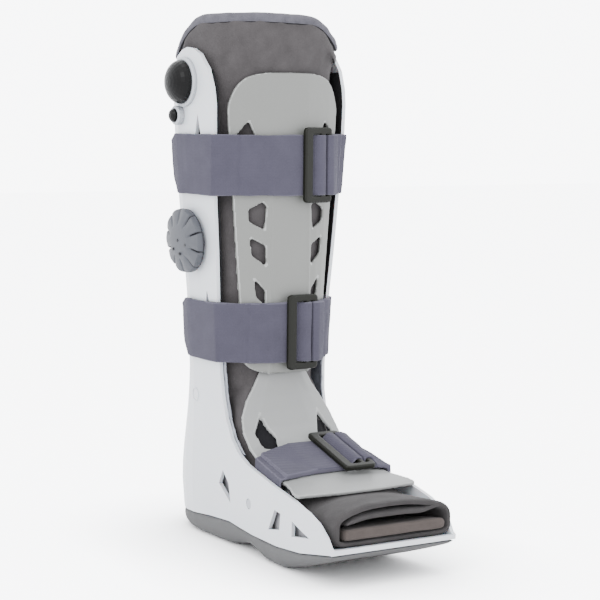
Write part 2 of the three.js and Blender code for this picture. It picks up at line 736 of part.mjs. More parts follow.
// Plan ring of the liner's leg at a height, a distance inside its outer face.
function legRing(z, inset) {
  const level = Math.min(z, SHELL_HEIGHT);
  const bell = LINER_BELL * Math.min(Math.max((4 * (z - SHELL_HEIGHT)) / LINER_RISE, 0), 1);
  const half = legHalf(level) - LINER_CLEAR + bell - inset;
  const back = legBack(level) - SHELL_WALL - GAP - LINER_SLACK + bell - inset;
  const front = linerFront(z) - inset;
  const dip = LINER_DIP * Math.min(Math.max((z - SHELL_HEIGHT) / LINER_RISE, 0), 1);
  const ring = [];
  for (let i = 0; i < LINER_STEPS; i += 1) {
    const angle = (2 * Math.PI * (i + 0.5)) / LINER_STEPS;
    const forward = Math.cos(angle);
    const reach = forward > 0 ? front : back;
    const across = bent(Math.sin(angle), LINER_POWER);
    ring.push([half * across, LEG_SET_BACK - reach * bent(forward, LINER_POWER),
      z - dip * Math.abs(across) ** 4]);
  }
  return ring;
}

// Top of the liner's foot at a forward distance, just under the instep panel.
function footTop(f) {
  const deep = INSTEP_PANEL + GAP;
  const under = INSTEP_FORM.map((row, i) => {
    const [, y, z] = instepPoint(i, 0, deep);
    return { f: -y, z };
  });
  under.push({ f: TOE_REACH - TOE_BACK, z: TOE_OPENING_HEIGHT });
  return follow(under, 'f', 'z', f);
}

const FOOT_TOP_POWER = 2 / 2.8;
const FOOT_WAIST = 0.4;
const FOOT_TOP_STEPS = 7;
const FOOT_CORNER = 2;

// Ring of the liner's foot at a forward distance, insets taken at its sides, top and base.
function footRing(f, side, top, base) {
  const half = sideHalf(f, SOLE_HEIGHT) - LINER_CLEAR - side;
  const low = floorLine(f) + GAP + base;
  const high = footTop(f) - top;
  const waist = low + FOOT_WAIST * (high - low);
  const right = [];
  for (let i = 0; i < FOOT_TOP_STEPS; i += 1) {
    const angle = (Math.PI * (i + 0.5)) / (2 * FOOT_TOP_STEPS - 1);
    const lift = (high - waist) * bent(Math.cos(angle), FOOT_TOP_POWER);
    right.push([half * bent(Math.sin(angle), FOOT_TOP_POWER), waist + lift]);
  }
  right[FOOT_TOP_STEPS - 1] = [half, waist];
  right.push([half, low + FOOT_CORNER], [half - FOOT_CORNER, low], [0.3 * half, low]);
  return [
    ...right.map(([x, z]) => [x, -f, z]),
    ...right.reverse().map(([x, z]) => [-x, -f, z]),
  ];
}

const FOOT_STATIONS = [-0.1, -0.02, 0.156, 0.19, 0.215, 0.24, 0.27, 0.31, 0.367, 0.46, 0.583,
  0.66, 0.77, 0.9];
const FLAP_START = 0.56;
const FLAP_SLIT = 0.9;
const OVER_FLAP_SIDE = 33;
const UNDER_FLAP_SIDE = 40;

// The slit between the two toe flaps, open to the hollow on the wearer's right and to
// the outside on the wearer's left, where the upper flap ends.
function flapSlit() {
  const rings = [];
  for (const share of [FLAP_START + 0.02, 0.66, 0.77, 1.02]) {
    const f = share * TOE_REACH;
    const half = sideHalf(f, SOLE_HEIGHT) - LINER_CLEAR;
    const low = floorLine(f) + GAP;
    const high = footTop(f);
    const waist = low + FOOT_WAIST * (high - low);
    const place = (x, inset) => {
      const out = Math.min(Math.abs(x) / half, 0.999);
      const lift = (1 - out ** (2 / FOOT_TOP_POWER)) ** (FOOT_TOP_POWER / 2);
      return [x, -f, waist + (high - waist) * lift - inset];
    };
    const deep = 2 * FLAP + 2 * FLAP_SLIT;
    const under = FLAP + FLAP_SLIT;
    const lower = [[-UNDER_FLAP_SIDE - 4, deep], [-UNDER_FLAP_SIDE, deep],
      [-UNDER_FLAP_SIDE + 0.5, under], [-14, under], [10, under], [OVER_FLAP_SIDE, under],
      [0.8 * half, under * 0.8], [0.93 * half, under * 0.4], [0.999 * half, 0]];
    const upper = [[-UNDER_FLAP_SIDE - 4, FLAP], [-UNDER_FLAP_SIDE, FLAP],
      [-UNDER_FLAP_SIDE + 0.5, FLAP], [-14, FLAP], [10, FLAP],
      [OVER_FLAP_SIDE - 0.5, -FLAP], [0.8 * half, -FLAP], [0.93 * half, -FLAP],
      [0.999 * half, -4 * FLAP]];
    rings.push([
      ...lower.map(([x, inset]) => place(x, inset)),
      ...upper.reverse().map(([x, inset]) => place(x, inset)),
    ]);
  }
  return loft(rings);
}

function liner() {
  const base = HEEL_FLOOR + GAP;
  const levels = LEVELS.filter((z, i) => i % 2 === 0 && z > base && z < 0.92 * SHELL_HEIGHT);
  const low = [base, ...levels];
  const high = [0.953, 0.975, 1.0, 1.02].map((s) => s * SHELL_HEIGHT);
  const leg = loft([
    ...low.map((z) => legRing(z, 0)),
    ...high.map((z) => legRing(z, 0)),
    legRing(LINER_TOP - 2, 0),
    legRing(LINER_TOP, 2),
  ]);
  const floor = base + FLAP;
  const hollow = loft([
    legRing(floor, LINER_WALL),
    ...levels.filter((z) => z > floor + 1).map((z) => legRing(z, LINER_WALL)),
    ...high.map((z) => legRing(z, LINER_WALL)),
    legRing(LINER_TOP - 2, LINER_WALL),
    legRing(LINER_TOP, LINER_WALL - 2),
    legRing(LINER_TOP + 5, LINER_WALL - 2),
  ]);
  const toe = (TOE_REACH - TOE_BACK) / TOE_REACH;
  const foot = loft([...FOOT_STATIONS, toe].map((s) => footRing(s * TOE_REACH, 0, 0, 0)));
  const inside = [...FOOT_STATIONS.slice(1), 1.05].map((s) => {
    const lapped = Math.min(Math.max((s - FLAP_START) / 0.1, 0), 1);
    const top = LINER_WALL + lapped * (2 * FLAP + FLAP_SLIT - LINER_WALL);
    return footRing(s * TOE_REACH, FLAP, top, FLAP);
  });
  return leg.add(foot)
    .subtract(hollow)
    .subtract(loft(inside))
    .subtract(flapSlit())
    .subtract(instepSheet(20, INSTEP_PANEL + GAP, 1.02, GAP));
}
add('liner', liner(), LINER_LOOK);

// Insole

const INSOLE_CLEAR = 2.4;
const insoleRoom = (f) => sideHalf(f, SOLE_HEIGHT) - LINER_CLEAR - FLAP - INSOLE_CLEAR;

function insole() {
  const ring = (f, half) => {
    const floor = f < 0.156 * TOE_REACH ? HEEL_FLOOR : floorLine(f);
    const low = floor + 2 * GAP + FLAP;
    const edge = 1;
    return [[-half, low + edge], [-half, low + INSOLE - edge], [-half + edge, low + INSOLE],
      [half - edge, low + INSOLE], [half, low + INSOLE - edge], [half, low + edge],
      [half - edge, low], [-half + edge, low]].map(([x, z]) => [x, -f, z]);
  };
  const rings = [];
  const heelHalf = legHalf(SOLE_HEIGHT) - LINER_CLEAR - LINER_WALL - 2;
  for (let i = 0; i <= 5; i += 1) {
    const angle = (Math.PI / 2) * (i / 5);
    const half = heelHalf * Math.max(Math.sin(angle), 0.15) ** 0.8;
    rings.push(ring(-LEG_SET_BACK - (INSOLE_HEEL - LEG_SET_BACK) * Math.cos(angle), half));
  }
  for (const row of SOLE_LINE.filter((r) => r.forward > 0 && r.forward < 0.95)) {
    const f = row.forward * TOE_REACH;
    rings.push(ring(f, Math.min(insoleRoom(f), INSOLE_WIDTH / 2)));
  }
  rings.push(ring(TOE_REACH - 1, Math.min(insoleRoom(TOE_REACH), INSOLE_WIDTH / 2)));
  return loft(rings);
}
add('insole', insole(), INSOLE_LOOK);

// Upright linings and air cells, strips on the inside of the shell's walls

// Half width of the shell's outline at a forward distance, an inset inside its face.
function outlineHalf(f, z, inset) {
  if (f >= -LEG_SET_BACK) return sideHalf(f, z) - inset;
  const far = Math.min((-LEG_SET_BACK - f) / (legBack(z) - inset), 1);
  return (legHalf(z) - inset) * (1 - far ** HEEL_SQUARENESS) ** (1 / HEEL_SQUARENESS);
}

function wallStrip(levels, from, beyond, gap, thickness, hand) {
  return loft(levels.map((z) => {
    const front = frontEdge(z) + beyond;
    const stations = [0, 0.25, 0.5, 0.75, 1].map((s) => from + s * (front - from));
    const at = (f, inset) => [hand * outlineHalf(f, z, inset), -f, z];
    return [
      ...stations.map((f) => at(f, SHELL_WALL + gap)),
      ...stations.reverse().map((f) => at(f, SHELL_WALL + gap + thickness)),
    ];
  }));
}

const between = (low, high, key = 'up', table = SHELL_EDGE.slice(0, 19)) => table
  .map((row) => row[key] * SHELL_HEIGHT).filter((z) => z > low + 1 && z < high - 1);
const LINING_TOP = 0.955 * SHELL_HEIGHT;
const LINING_FOOT = LINING_TOP - LINING_LENGTH;
const AIR_CELL_FOOT = 0.195 * SHELL_HEIGHT;
const AIR_CELL_TOP = LINING_FOOT - 3;
const HANDS = [{ word: 'right', hand: -1 }, { word: 'left', hand: 1 }];
for (const { word, hand } of HANDS) {
  const high = [LINING_FOOT, ...between(LINING_FOOT, LINING_TOP), LINING_TOP];
  add(`upright_lining_${word}`, wallStrip(high, -LEG_SET_BACK - 8, 1.5, 2 * GAP, LINING, hand), LINING_LOOK);
  const low = [AIR_CELL_FOOT, ...between(AIR_CELL_FOOT, AIR_CELL_TOP), AIR_CELL_TOP];
  add(`air_cell_${word}`, wallStrip(low, -LEG_SET_BACK, 3, GAP, AIR_CELL, hand), AIR_LOOK);
}

// Plugs in the round side holes
for (const { word, hand } of HANDS) {
  const radius = PLUG_WIDTH / 2 - GAP;
  const outer = sideHalf(PLUG_FORWARD, PLUG_UP);
  const ends = [hand * (outer - SHELL_WALL), hand * (outer - 0.6)].sort((a, b) => a - b);
  add(`side_plug_${word}`, prism(circle(PLUG_FORWARD, PLUG_UP, radius, PLUG_SIDES), 'side', ...ends),
    COLLAR_LOOK);
}

// Straps and buckles

// A strap lies along the lines of a run of corner points in a plane. Distances along it
// are counted from the middle of the straight under the buckle, towards the wearer's left.
function run(corners, flatFrom, edgeAt) {
  const marks = [0];
  for (let i = 1; i < corners.length; i += 1) {
    const [a, b] = [corners[i - 1], corners[i]];
    marks.push(marks[i - 1] + Math.hypot(b[0] - a[0], b[1] - a[1]));
  }
  const zero = (marks[flatFrom] + marks[flatFrom + 1]) / 2;
  const at = marks.map((mark) => mark - zero);
  const turn = (i) => {
    const [a, b] = [corners[i], corners[i + 1]];
    const length = at[i + 1] - at[i];
    return [(a[1] - b[1]) / length, (b[0] - a[0]) / length];
  };
  const place = (s, out) => {
    let i = 0;
    while (i < corners.length - 2 && s > at[i + 1] + 1e-6) i += 1;
    const share = (s - at[i]) / (at[i + 1] - at[i]);
    let [nx, ny] = turn(i);
    if (Math.abs(s - at[i + 1]) < 1e-6 && i < corners.length - 2) {
      const [mx, my] = turn(i + 1);
      const grow = 2 / ((nx + mx) ** 2 + (ny + my) ** 2);
      [nx, ny] = [(nx + mx) * grow, (ny + my) * grow];
    }
    const x = corners[i][0] + share * (corners[i + 1][0] - corners[i][0]);
    const y = corners[i][1] + share * (corners[i + 1][1] - corners[i][1]);
    return [x + out * nx, y + out * ny];
  };
  return { at, place, edge: at[edgeAt], tangent: turn(flatFrom) };
}

// Heights above the surface below: the strap's first layer, its second one, the buckle's
// back and front, and the strap's way over a bar.
const LAYER_ONE = GAP + WEBBING / 2;
const LAYER_TWO = LAYER_ONE + WEBBING + GAP;
const BUCKLE_BACK = LAYER_TWO + WEBBING / 2 + GAP;
const BUCKLE_FRONT = BUCKLE_BACK + BUCKLE;
const OVER_BAR = BUCKLE_FRONT + GAP + WEBBING / 2;
const ROUND_BAR = BUCKLE_BAR / 2 + GAP * 1.6 + WEBBING / 2;

// Half length of the straight run under a buckle.
const BUCKLE_FLAT = BUCKLE_WIDTH / 2 + 2;

// Places of the middle bar and of the anchor's rail along a buckle, from its middle.
const MIDDLE_BAR = 0.157 * BUCKLE_WIDTH;
const ANCHOR_RAIL = BUCKLE_WIDTH / 2 - BUCKLE_BAR / 2;

// Section of a strap folded round a bar: one layer lies below, the other comes back over
// the bar and lies on it. Hand is 1 where it comes from the wearer's right.
function foldedSection(way, bar, hand, below, above, grow) {
  const path = [];
  const put = (s, out) => path.push([s, out * grow]);
  const onLine = (from, to, out, past = -Infinity) => {
    const low = Math.max(Math.min(from, to), past);
    const high = Math.max(from, to);
    const inner = way.at.filter((s) => s > low + 0.4 && s < high - 0.4);
    if (from > to) inner.reverse();
    for (const s of [from, ...inner, to]) put(s, out);
  };
  onLine(below, bar - hand * 0.4, LAYER_ONE);
  put(bar + hand * 0.85 * ROUND_BAR, LAYER_ONE + 0.15 * ROUND_BAR);
  put(bar + hand * ROUND_BAR, LAYER_ONE + ROUND_BAR);
  put(bar + hand * ROUND_BAR, OVER_BAR - ROUND_BAR);
  put(bar + hand * 0.85 * ROUND_BAR, OVER_BAR - 0.15 * ROUND_BAR);
  put(bar - hand * 0.4, OVER_BAR);
  const off = BUCKLE_BAR / 2;
  put(bar - hand * (off + 0.6), OVER_BAR);
  put(bar - hand * (off + 2), OVER_BAR - 0.7);
  put(bar - hand * (off + 6.6), LAYER_TWO + 0.9);
  onLine(bar - hand * (off + 8.6), above, LAYER_TWO, hand > 0 ? -Infinity : way.edge - 1);
  const half = WEBBING / 2;
  const sides = path.map(([s, out], i) => {
    const before = path[Math.max(i - 1, 0)];
    const after = path[Math.min(i + 1, path.length - 1)];
    const length = Math.hypot(after[0] - before[0], after[1] - before[1]);
    const across = [(before[1] - after[1]) / length, (after[0] - before[0]) / length];
    return [[s + half * across[0], out + half * across[1]],
      [s - half * across[0], out - half * across[1]]];
  });
  return [...sides.map((pair) => pair[0]), ...sides.map((pair) => pair[1]).reverse()]
    .map(([s, out]) => way.place(s, out));
}

// Outline of a buckle seen from the front: a wide rail, the middle bar, and a narrow rail.
function buckleShape() {
  const wide = BUCKLE_WIDTH / 2;
  const long = BUCKLE_LENGTH / 2;
  const corner = 3;
  const shape = new THREE.Shape();
  const box = (path, left, right, low, high, round) => {
    path.moveTo(left + round, low);
    path.lineTo(right - round, low);
    path.quadraticCurveTo(right, low, right, low + round);
    path.lineTo(right, high - round);
    path.quadraticCurveTo(right, high, right - round, high);
    path.lineTo(left + round, high);
    path.quadraticCurveTo(left, high, left, high - round);
    path.lineTo(left, low + round);
    path.quadraticCurveTo(left, low, left + round, low);
  };
  box(shape, -wide, wide, -long, long, corner);
  const slot = STRAP_WIDTH / 2 + 1;
  const bar = BUCKLE_BAR / 2;
  for (const [left, right] of [[-wide + BUCKLE_RAIL, MIDDLE_BAR - bar],
    [MIDDLE_BAR + bar, ANCHOR_RAIL - bar]]) {
    const hole = new THREE.Path();
    box(hole, left, right, -slot, slot, 1);
    shape.holes.push(hole);
  }
  return new THREE.ExtrudeGeometry(shape, { depth: BUCKLE, bevelEnabled: false, curveSegments: 3 });
}

// Corner points of a leg strap's run at a height, from the wearer's right round the front.
// Up is the height of the strap's middle.
function legRun(z, up, buckleSide, lean) {
  const side = [1, 0.85, 0.7, 0.5, 0.25, 0].map((s) => -LEG_SET_BACK - s * STRAP_SIDE_REACH);
  side.push(0.03 * TOE_REACH, frontEdge(z));
  const wall = side.map((f) => [outlineHalf(f, z, 0), f]);
  const strip = PANEL_STRIP / 2;
  const face = PANEL_BACK_FACE + PANEL;
  const edge = panelFace(1, z);
  const rise = Math.tan((lean * Math.PI) / 180);
  const flat = (x) => [x, face + (strip - x) * rise];
  const past = buckleSide + BUCKLE_FLAT;
  const bends = PANEL_SHARES.slice(1, 3);
  const beyond = bends.filter((share) => panelFace(share, up)[0] > past + 0.5);
  const onFace = (shares) => shares.map((share) => panelFace(share, z));
  const right = [...wall, edge, ...onFace(bends)].map(([x, f]) => [-x, f]);
  const left = [...wall, edge, ...onFace(beyond)].reverse();
  const corners = [...right, [-strip, face], flat(buckleSide - BUCKLE_FLAT), flat(past), ...left];
  return run(corners, right.length + 1, corners.length - wall.length - 1);
}

function legStrap(name, up, buckleSide, lean) {
  const levels = [-0.5, 0, 0.5].map((s) => up + s * STRAP_WIDTH);
  const ways = levels.map((z) => legRun(z, up, buckleSide, lean));
  const solid = (bar, hand, below, above) => loft(ways.map((way, i) =>
    foldedSection(way, bar, hand, below(way), above(way), 1)
      .map(([x, f]) => [x, -f, levels[i]])));
  const end = (way) => way.at[way.at.length - 1];
  const folded = (way) => way.edge + ANCHOR_FOLD;
  add(`${name}_strap`, solid(MIDDLE_BAR, 1, (way) => way.at[0] + 6, (way) => way.at[0]), STRAP_LOOK);
  add(`${name}_anchor_strap`, solid(ANCHOR_RAIL, -1, end, folded), STRAP_LOOK);
  const way = ways[1];
  const [nx, nf] = way.tangent;
  const out = new THREE.Vector3(nx, -nf, 0);
  const along = new THREE.Vector3(nf, nx, 0);
  const basis = new THREE.Matrix4().makeBasis(along, new THREE.Vector3(0, 0, 1), out);
  const [x, f] = way.place(0, BUCKLE_BACK);
  basis.setPosition(x, -f, up);
  add(`${name}_buckle`, toSolid(buckleShape().applyMatrix4(basis)), BUCKLE_LOOK);
}
legStrap('upper', UPPER_STRAP_UP, UPPER_BUCKLE_SIDE, UPPER_BUCKLE_LEAN);
legStrap('lower', LOWER_STRAP_UP, LOWER_BUCKLE_SIDE, LOWER_BUCKLE_LEAN);

// Corner points of the foot strap's run across the instep at a forward distance.
function footRun(f) {
  const share = f / TOE_REACH;
  const height = (key) => SHELL_HEIGHT * follow(INSTEP_FORM, 'forward', key, share);
  const half = (INSTEP_WIDTH / 2) * follow(INSTEP_FORM, 'forward', 'half', share);
  const face = height('up') + 0.3;
  const strip = PANEL_STRIP / 2;
  const wallTop = SHELL_HEIGHT * follow([...SHELL_EDGE.slice(0, 12)].reverse(), 'forward', 'up', share);
  const inner = sideHalf(f, wallTop) - SHELL_WALL - 2 * GAP - WEBBING;
  const end = [inner, wallTop - FOOT_STRAP_TUCK];
  const edge = [half + 1, height('edgeUp') + 0.5];
  const corners = [...[end, edge, [strip, face]].map(([x, z]) => [-x, z]),
    [FOOT_BUCKLE_SIDE - BUCKLE_FLAT, face], [FOOT_BUCKLE_SIDE + BUCKLE_FLAT, face],
    edge, end];
  return run(corners, 3, corners.length - 2);
}

function footStrap() {
  const instepUp = (f) => SHELL_HEIGHT * follow(INSTEP_FORM, 'forward', 'up', f / TOE_REACH);
  const wide = FOOT_STRAP_WIDTH / 2;
  const fall = instepUp(FOOT_STRAP_FORWARD - wide) - instepUp(FOOT_STRAP_FORWARD + wide);
  const half = wide / Math.hypot(1, fall / FOOT_STRAP_WIDTH);
  const ends = [FOOT_STRAP_FORWARD - half, FOOT_STRAP_FORWARD + half];
  const ways = ends.map(footRun);
  const middle = ways.map((way, i) => {
    const [x, z] = way.place(0, 0);
    return new THREE.Vector3(x, -ends[i], z);
  });
  const back = middle[0].clone().sub(middle[1]).normalize();
  const grow = 1 / Math.hypot(back.x, back.y);
  const solid = (bar, hand, below, above) => loft(ways.map((way, i) =>
    foldedSection(way, bar, hand, below(way), above(way), grow)
      .map(([x, z]) => [x, -ends[i], z])));
  const end = (way) => way.at[way.at.length - 1];
  const folded = (way) => way.edge + ANCHOR_FOLD;
  add('foot_strap', solid(MIDDLE_BAR, 1, (way) => way.at[0], (way) => way.at[1] + 4), STRAP_LOOK);
  add('foot_anchor_strap', solid(ANCHOR_RAIL, -1, end, folded), STRAP_LOOK);
  const [nx, nz] = ways[0].tangent;
  const along = new THREE.Vector3(nz, 0, -nx);
  const out = along.clone().cross(back).normalize();
  const up = out.clone().cross(along).normalize();
  const basis = new THREE.Matrix4().makeBasis(along, up, out);
  const centre = middle[0].clone().add(middle[1]).multiplyScalar(0.5);
  basis.setPosition(centre.add(out.clone().multiplyScalar(BUCKLE_BACK + GAP / 2)));
  add('foot_buckle', toSolid(buckleShape().applyMatrix4(basis)), BUCKLE_LOOK);
}
footStrap();

// Pump bulb, release button and selector dial

// Frame on the wearer's right upright at a height, set back from the mark on the sole:
// its Z points straight out of the shell.
function uprightFrame(z, setBack) {
  const reach = 10;
  const rise = (legHalf(z + reach) - legHalf(z - reach)) / (2 * reach);
  const out = new THREE.Vector3(-1, 0, -rise).normalize();
  const back = new THREE.Vector3(0, 1, 0);
  const up = out.clone().cross(back);
  const basis = new THREE.Matrix4().makeBasis(back, up, out);
  basis.setPosition(-legHalf(z), setBack, z);
  return basis;
}

// Turned piece from a profile of radius and height pairs, set on an upright frame.
function turned(profile, steps, frame) {
  const points = profile.map(([r, h]) => new THREE.Vector2(r, h));
  const geometry = new THREE.LatheGeometry(points, steps);
  geometry.rotateX(Math.PI / 2);
  return toSolid(geometry.applyMatrix4(frame));
}

// The shell's outside grown by the clearance, which trims what is seated on it.
const seat = loft(LEVELS.map((z) => bootRing(z, -GAP)));
const ROOT = 6;

const bulbFrame = uprightFrame(BULB_UP, CONTROLS_SET_BACK);
const bulbRadius = BULB_WIDTH / 2;
const collarRadius = BULB_COLLAR_WIDTH / 2;
add('bulb_collar', turned([[0, -ROOT], [collarRadius, -ROOT], [collarRadius, COLLAR - 1],
  [collarRadius - 1.5, COLLAR], [0, COLLAR]], 24, bulbFrame).subtract(seat), COLLAR_LOOK);
const dome = [[0, COLLAR + GAP]];
for (let i = 0; i <= 7; i += 1) {
  const angle = (Math.PI / 2) * (i / 7);
  const out = i === 7 ? 0 : bulbRadius * Math.cos(angle);
  dome.push([out, COLLAR + GAP + BULB_HEIGHT * Math.sin(angle)]);
}
add('pump_bulb', turned(dome, 24, bulbFrame), RUBBER_LOOK);

const buttonFrame = uprightFrame(BUTTON_UP, BUTTON_SET_BACK);
const buttonRadius = BUTTON_WIDTH / 2;
const ringRadius = BUTTON_COLLAR_WIDTH / 2;
const bore = buttonRadius + GAP;
add('button_collar', turned([[bore, -ROOT], [ringRadius, -ROOT], [ringRadius, BUTTON_HEIGHT - 1.2],
  [ringRadius - 1.2, BUTTON_HEIGHT - 0.2], [bore, BUTTON_HEIGHT - 0.2], [bore, -ROOT]],
24, buttonFrame).subtract(seat), COLLAR_LOOK);
const buttonFoot = BUTTON_TRAVEL + 2 * GAP;
add('release_button', turned([[0, buttonFoot], [buttonRadius, buttonFoot],
  [buttonRadius, BUTTON_HEIGHT + 1.5], [buttonRadius * 0.75, BUTTON_HEIGHT + 3],
  [buttonRadius * 0.35, BUTTON_HEIGHT + 3.7], [0, BUTTON_HEIGHT + 3.8]], 20, buttonFrame),
RUBBER_LOOK);

const dialFrame = uprightFrame(DIAL_UP, CONTROLS_SET_BACK);
const dialRadius = DIAL_WIDTH / 2;
add('dial_seat', turned([[0, -ROOT], [DIAL_SEAT_WIDTH / 2, -ROOT], [DIAL_SEAT_WIDTH / 2, DIAL_SEAT],
  [0, DIAL_SEAT]], 24, dialFrame).subtract(seat), COLLAR_LOOK);

function dial() {
  const foot = DIAL_SEAT + GAP;
  const top = foot + DIAL_HEIGHT;
  let solid = turned([[0, foot], [dialRadius - 1, foot], [dialRadius, foot + 1.5],
    [dialRadius, foot + 0.35 * DIAL_HEIGHT], [dialRadius * 0.94, foot + 0.65 * DIAL_HEIGHT],
    [dialRadius * 0.8, foot + 0.86 * DIAL_HEIGHT], [dialRadius * 0.5, foot + 0.97 * DIAL_HEIGHT],
    [0, top]], 26, dialFrame);
  for (let i = 0; i < DIAL_GROOVES; i += 1) {
    const groove = new THREE.CylinderGeometry(DIAL_GROOVE_WIDTH / 2, DIAL_GROOVE_WIDTH / 2,
      DIAL_HEIGHT, 6);
    groove.rotateX(Math.PI / 2);
    groove.translate(dialRadius + 0.6, 0, foot + 0.35 * DIAL_HEIGHT + DIAL_HEIGHT / 2);
    groove.rotateZ((2 * Math.PI * (i + 0.5)) / DIAL_GROOVES);
    solid = solid.subtract(toSolid(groove.applyMatrix4(dialFrame)));
  }
  return solid;
}
add('selector_dial', dial(), DIAL_LOOK);

export default boot;
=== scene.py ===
# Medical walking boot: looks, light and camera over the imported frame. Metres, toes along -Y.
import json
import math
import bmesh
import bpy
from mathutils import Matrix, Vector, bvhtree, kdtree, noise


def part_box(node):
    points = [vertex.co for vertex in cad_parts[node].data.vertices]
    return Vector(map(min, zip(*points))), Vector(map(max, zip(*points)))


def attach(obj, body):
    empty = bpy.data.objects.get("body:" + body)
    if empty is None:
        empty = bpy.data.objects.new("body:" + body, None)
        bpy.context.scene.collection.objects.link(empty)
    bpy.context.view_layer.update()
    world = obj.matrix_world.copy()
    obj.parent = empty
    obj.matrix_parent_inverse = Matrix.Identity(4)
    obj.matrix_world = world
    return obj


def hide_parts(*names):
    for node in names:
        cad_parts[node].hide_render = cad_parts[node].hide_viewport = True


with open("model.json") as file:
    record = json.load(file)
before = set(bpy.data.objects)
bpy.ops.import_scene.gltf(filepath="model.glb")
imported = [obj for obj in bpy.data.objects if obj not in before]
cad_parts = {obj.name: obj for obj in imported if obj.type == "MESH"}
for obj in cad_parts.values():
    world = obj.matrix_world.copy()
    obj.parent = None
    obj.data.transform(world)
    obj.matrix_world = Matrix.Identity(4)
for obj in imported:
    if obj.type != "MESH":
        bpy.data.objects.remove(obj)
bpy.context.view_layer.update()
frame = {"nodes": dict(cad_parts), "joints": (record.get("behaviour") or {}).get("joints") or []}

NODES = frame["nodes"]
JOINTS = {row["name"]: row for row in frame["joints"]}


# Small helpers
def clamped(value):
    """The value, held between 0 and 1."""
    return min(max(value, 0), 1)


def eased(share):
    """A share from 0 to 1 that leaves 0 and reaches 1 softly."""
    return share * share * (3 - 2 * share)


def hump(distance, width):
    """1 at no distance, and nearly nothing from two widths on."""
    return math.exp(-(distance / width) ** 2)


def add_object(name, data):
    ob = bpy.data.objects.new(name, data)
    bpy.context.scene.collection.objects.link(ob)
    return ob


# Camera, from a fit to the photograph
AZIMUTH = 0.574838
PITCH = 0.100897
ROLL = -0.009855
SPOT = Vector((-0.8351, -1.3499, 0.3623))
LENS = 112.6
SENSOR = 36
FAR_CLIP = 20


def camera_matrix():
    flat = math.cos(PITCH)
    forward = Vector((math.sin(AZIMUTH) * flat, math.cos(AZIMUTH) * flat, -math.sin(PITCH)))
    right = forward.cross(Vector((0, 0, 1))).normalized()
    up = right.cross(forward)
    turn = Matrix.Rotation(ROLL, 3, forward)
    matrix = Matrix((turn @ right, turn @ up, -forward)).transposed().to_4x4()
    matrix.translation = SPOT
    return matrix


camera = add_object("camera", bpy.data.cameras.new("camera"))
camera.matrix_world = camera_matrix()
camera.data.lens = LENS
camera.data.sensor_width = SENSOR
camera.data.clip_end = FAR_CLIP
bpy.context.scene.camera = camera

# Node materials. Each keeps its colour, broken up at a large and a fine scale, with a bump.
LARGE_DETAIL = 4
FINE_DETAIL = 6
LARGE_SHARE = 0.6
FINE_SHARE = 0.4
TONE_RANGE = (0.3, 0.7)
ROUGH_SPREAD = 0.08
WEAVE_BANDS = (("Z", 0.35), ("X", 0.245))
WEAVE_DISTORTION = 0.6
BUMP_STRENGTH = 0.6
BUMP_DISTANCE = 0.0005
SHEEN_ROUGH = 0.5
LIGHT_DEPTH = 0.004


def compute(tree, kind, *values):
    """A math node. Each of its values is a number or another node's output."""
    node = tree.nodes.new("ShaderNodeMath")
    node.operation = kind
    for slot, value in zip(node.inputs, values):
        if isinstance(value, (int, float)):
            slot.default_value = value
        else:
            tree.links.new(value, slot)
    return node.outputs[0]


def noise_texture(tree, place, scale, detail):
    node = tree.nodes.new("ShaderNodeTexNoise")
    node.inputs["Scale"].default_value = scale
    node.inputs["Detail"].default_value = detail
    tree.links.new(place, node.inputs["Vector"])
    return node.outputs["Fac"]


def wave_texture(tree, place, scale, direction):
    node = tree.nodes.new("ShaderNodeTexWave")
    node.bands_direction = direction
    node.inputs["Scale"].default_value = scale
    node.inputs["Distortion"].default_value = WEAVE_DISTORTION
    tree.links.new(place, node.inputs["Vector"])
    return node.outputs["Fac"]


def toned(tree, tone, color, patch):
    """The colour, darker where the tone is low and lighter where it is high, by the patch share."""
    ramp = tree.nodes.new("ShaderNodeValToRGB")
    for element, position, factor in zip(ramp.color_ramp.elements, TONE_RANGE, (1 - patch, 1 + patch)):
        element.position = position
        element.color = (*[min(c * factor, 1) for c in color], 1)
    tree.links.new(tone, ramp.inputs["Fac"])
    return ramp.outputs["Color"]


def look(name, color, rough, patch, patch_size, grain, grain_size, sheen=0.0, coat=0.0, weave=None,
         subsurface=0.0, shine=0.5):
    """A material. Its patches and grain have a depth and a scale each, and a weave has a scale."""
    material = bpy.data.materials.new(name)
    material.use_nodes = True
    tree = material.node_tree
    shader = tree.nodes["Principled BSDF"]
    place = tree.nodes.new("ShaderNodeTexCoord").outputs["Object"]
    large = compute(tree, "MULTIPLY", noise_texture(tree, place, patch_size, LARGE_DETAIL), LARGE_SHARE)
    fine = noise_texture(tree, place, grain_size, FINE_DETAIL)
    height = compute(tree, "MULTIPLY", fine, grain)
    if weave:
        for direction, depth in WEAVE_BANDS:
            wave = wave_texture(tree, place, weave, direction)
            height = compute(tree, "ADD", height, compute(tree, "MULTIPLY", wave, depth))
    tone = compute(tree, "ADD", large, compute(tree, "MULTIPLY", fine, FINE_SHARE))
    uneven = compute(tree, "MULTIPLY", fine, ROUGH_SPREAD)
    bump = tree.nodes.new("ShaderNodeBump")
    bump.inputs["Strength"].default_value = BUMP_STRENGTH
    bump.inputs["Distance"].default_value = BUMP_DISTANCE
    tree.links.new(height, bump.inputs["Height"])
    for slot, output in (("Base Color", toned(tree, tone, color, patch)),
                         ("Roughness", compute(tree, "ADD", uneven, rough - ROUGH_SPREAD / 2)),
                         ("Normal", bump.outputs["Normal"])):
        tree.links.new(output, shader.inputs[slot])
    for slot, value in (("Sheen Weight", sheen), ("Sheen Roughness", SHEEN_ROUGH), ("Coat Weight", coat),
                        ("Specular IOR Level", shine), ("Subsurface Weight", subsurface),
                        ("Subsurface Scale", LIGHT_DEPTH)):
        shader.inputs[slot].default_value = value
    return material


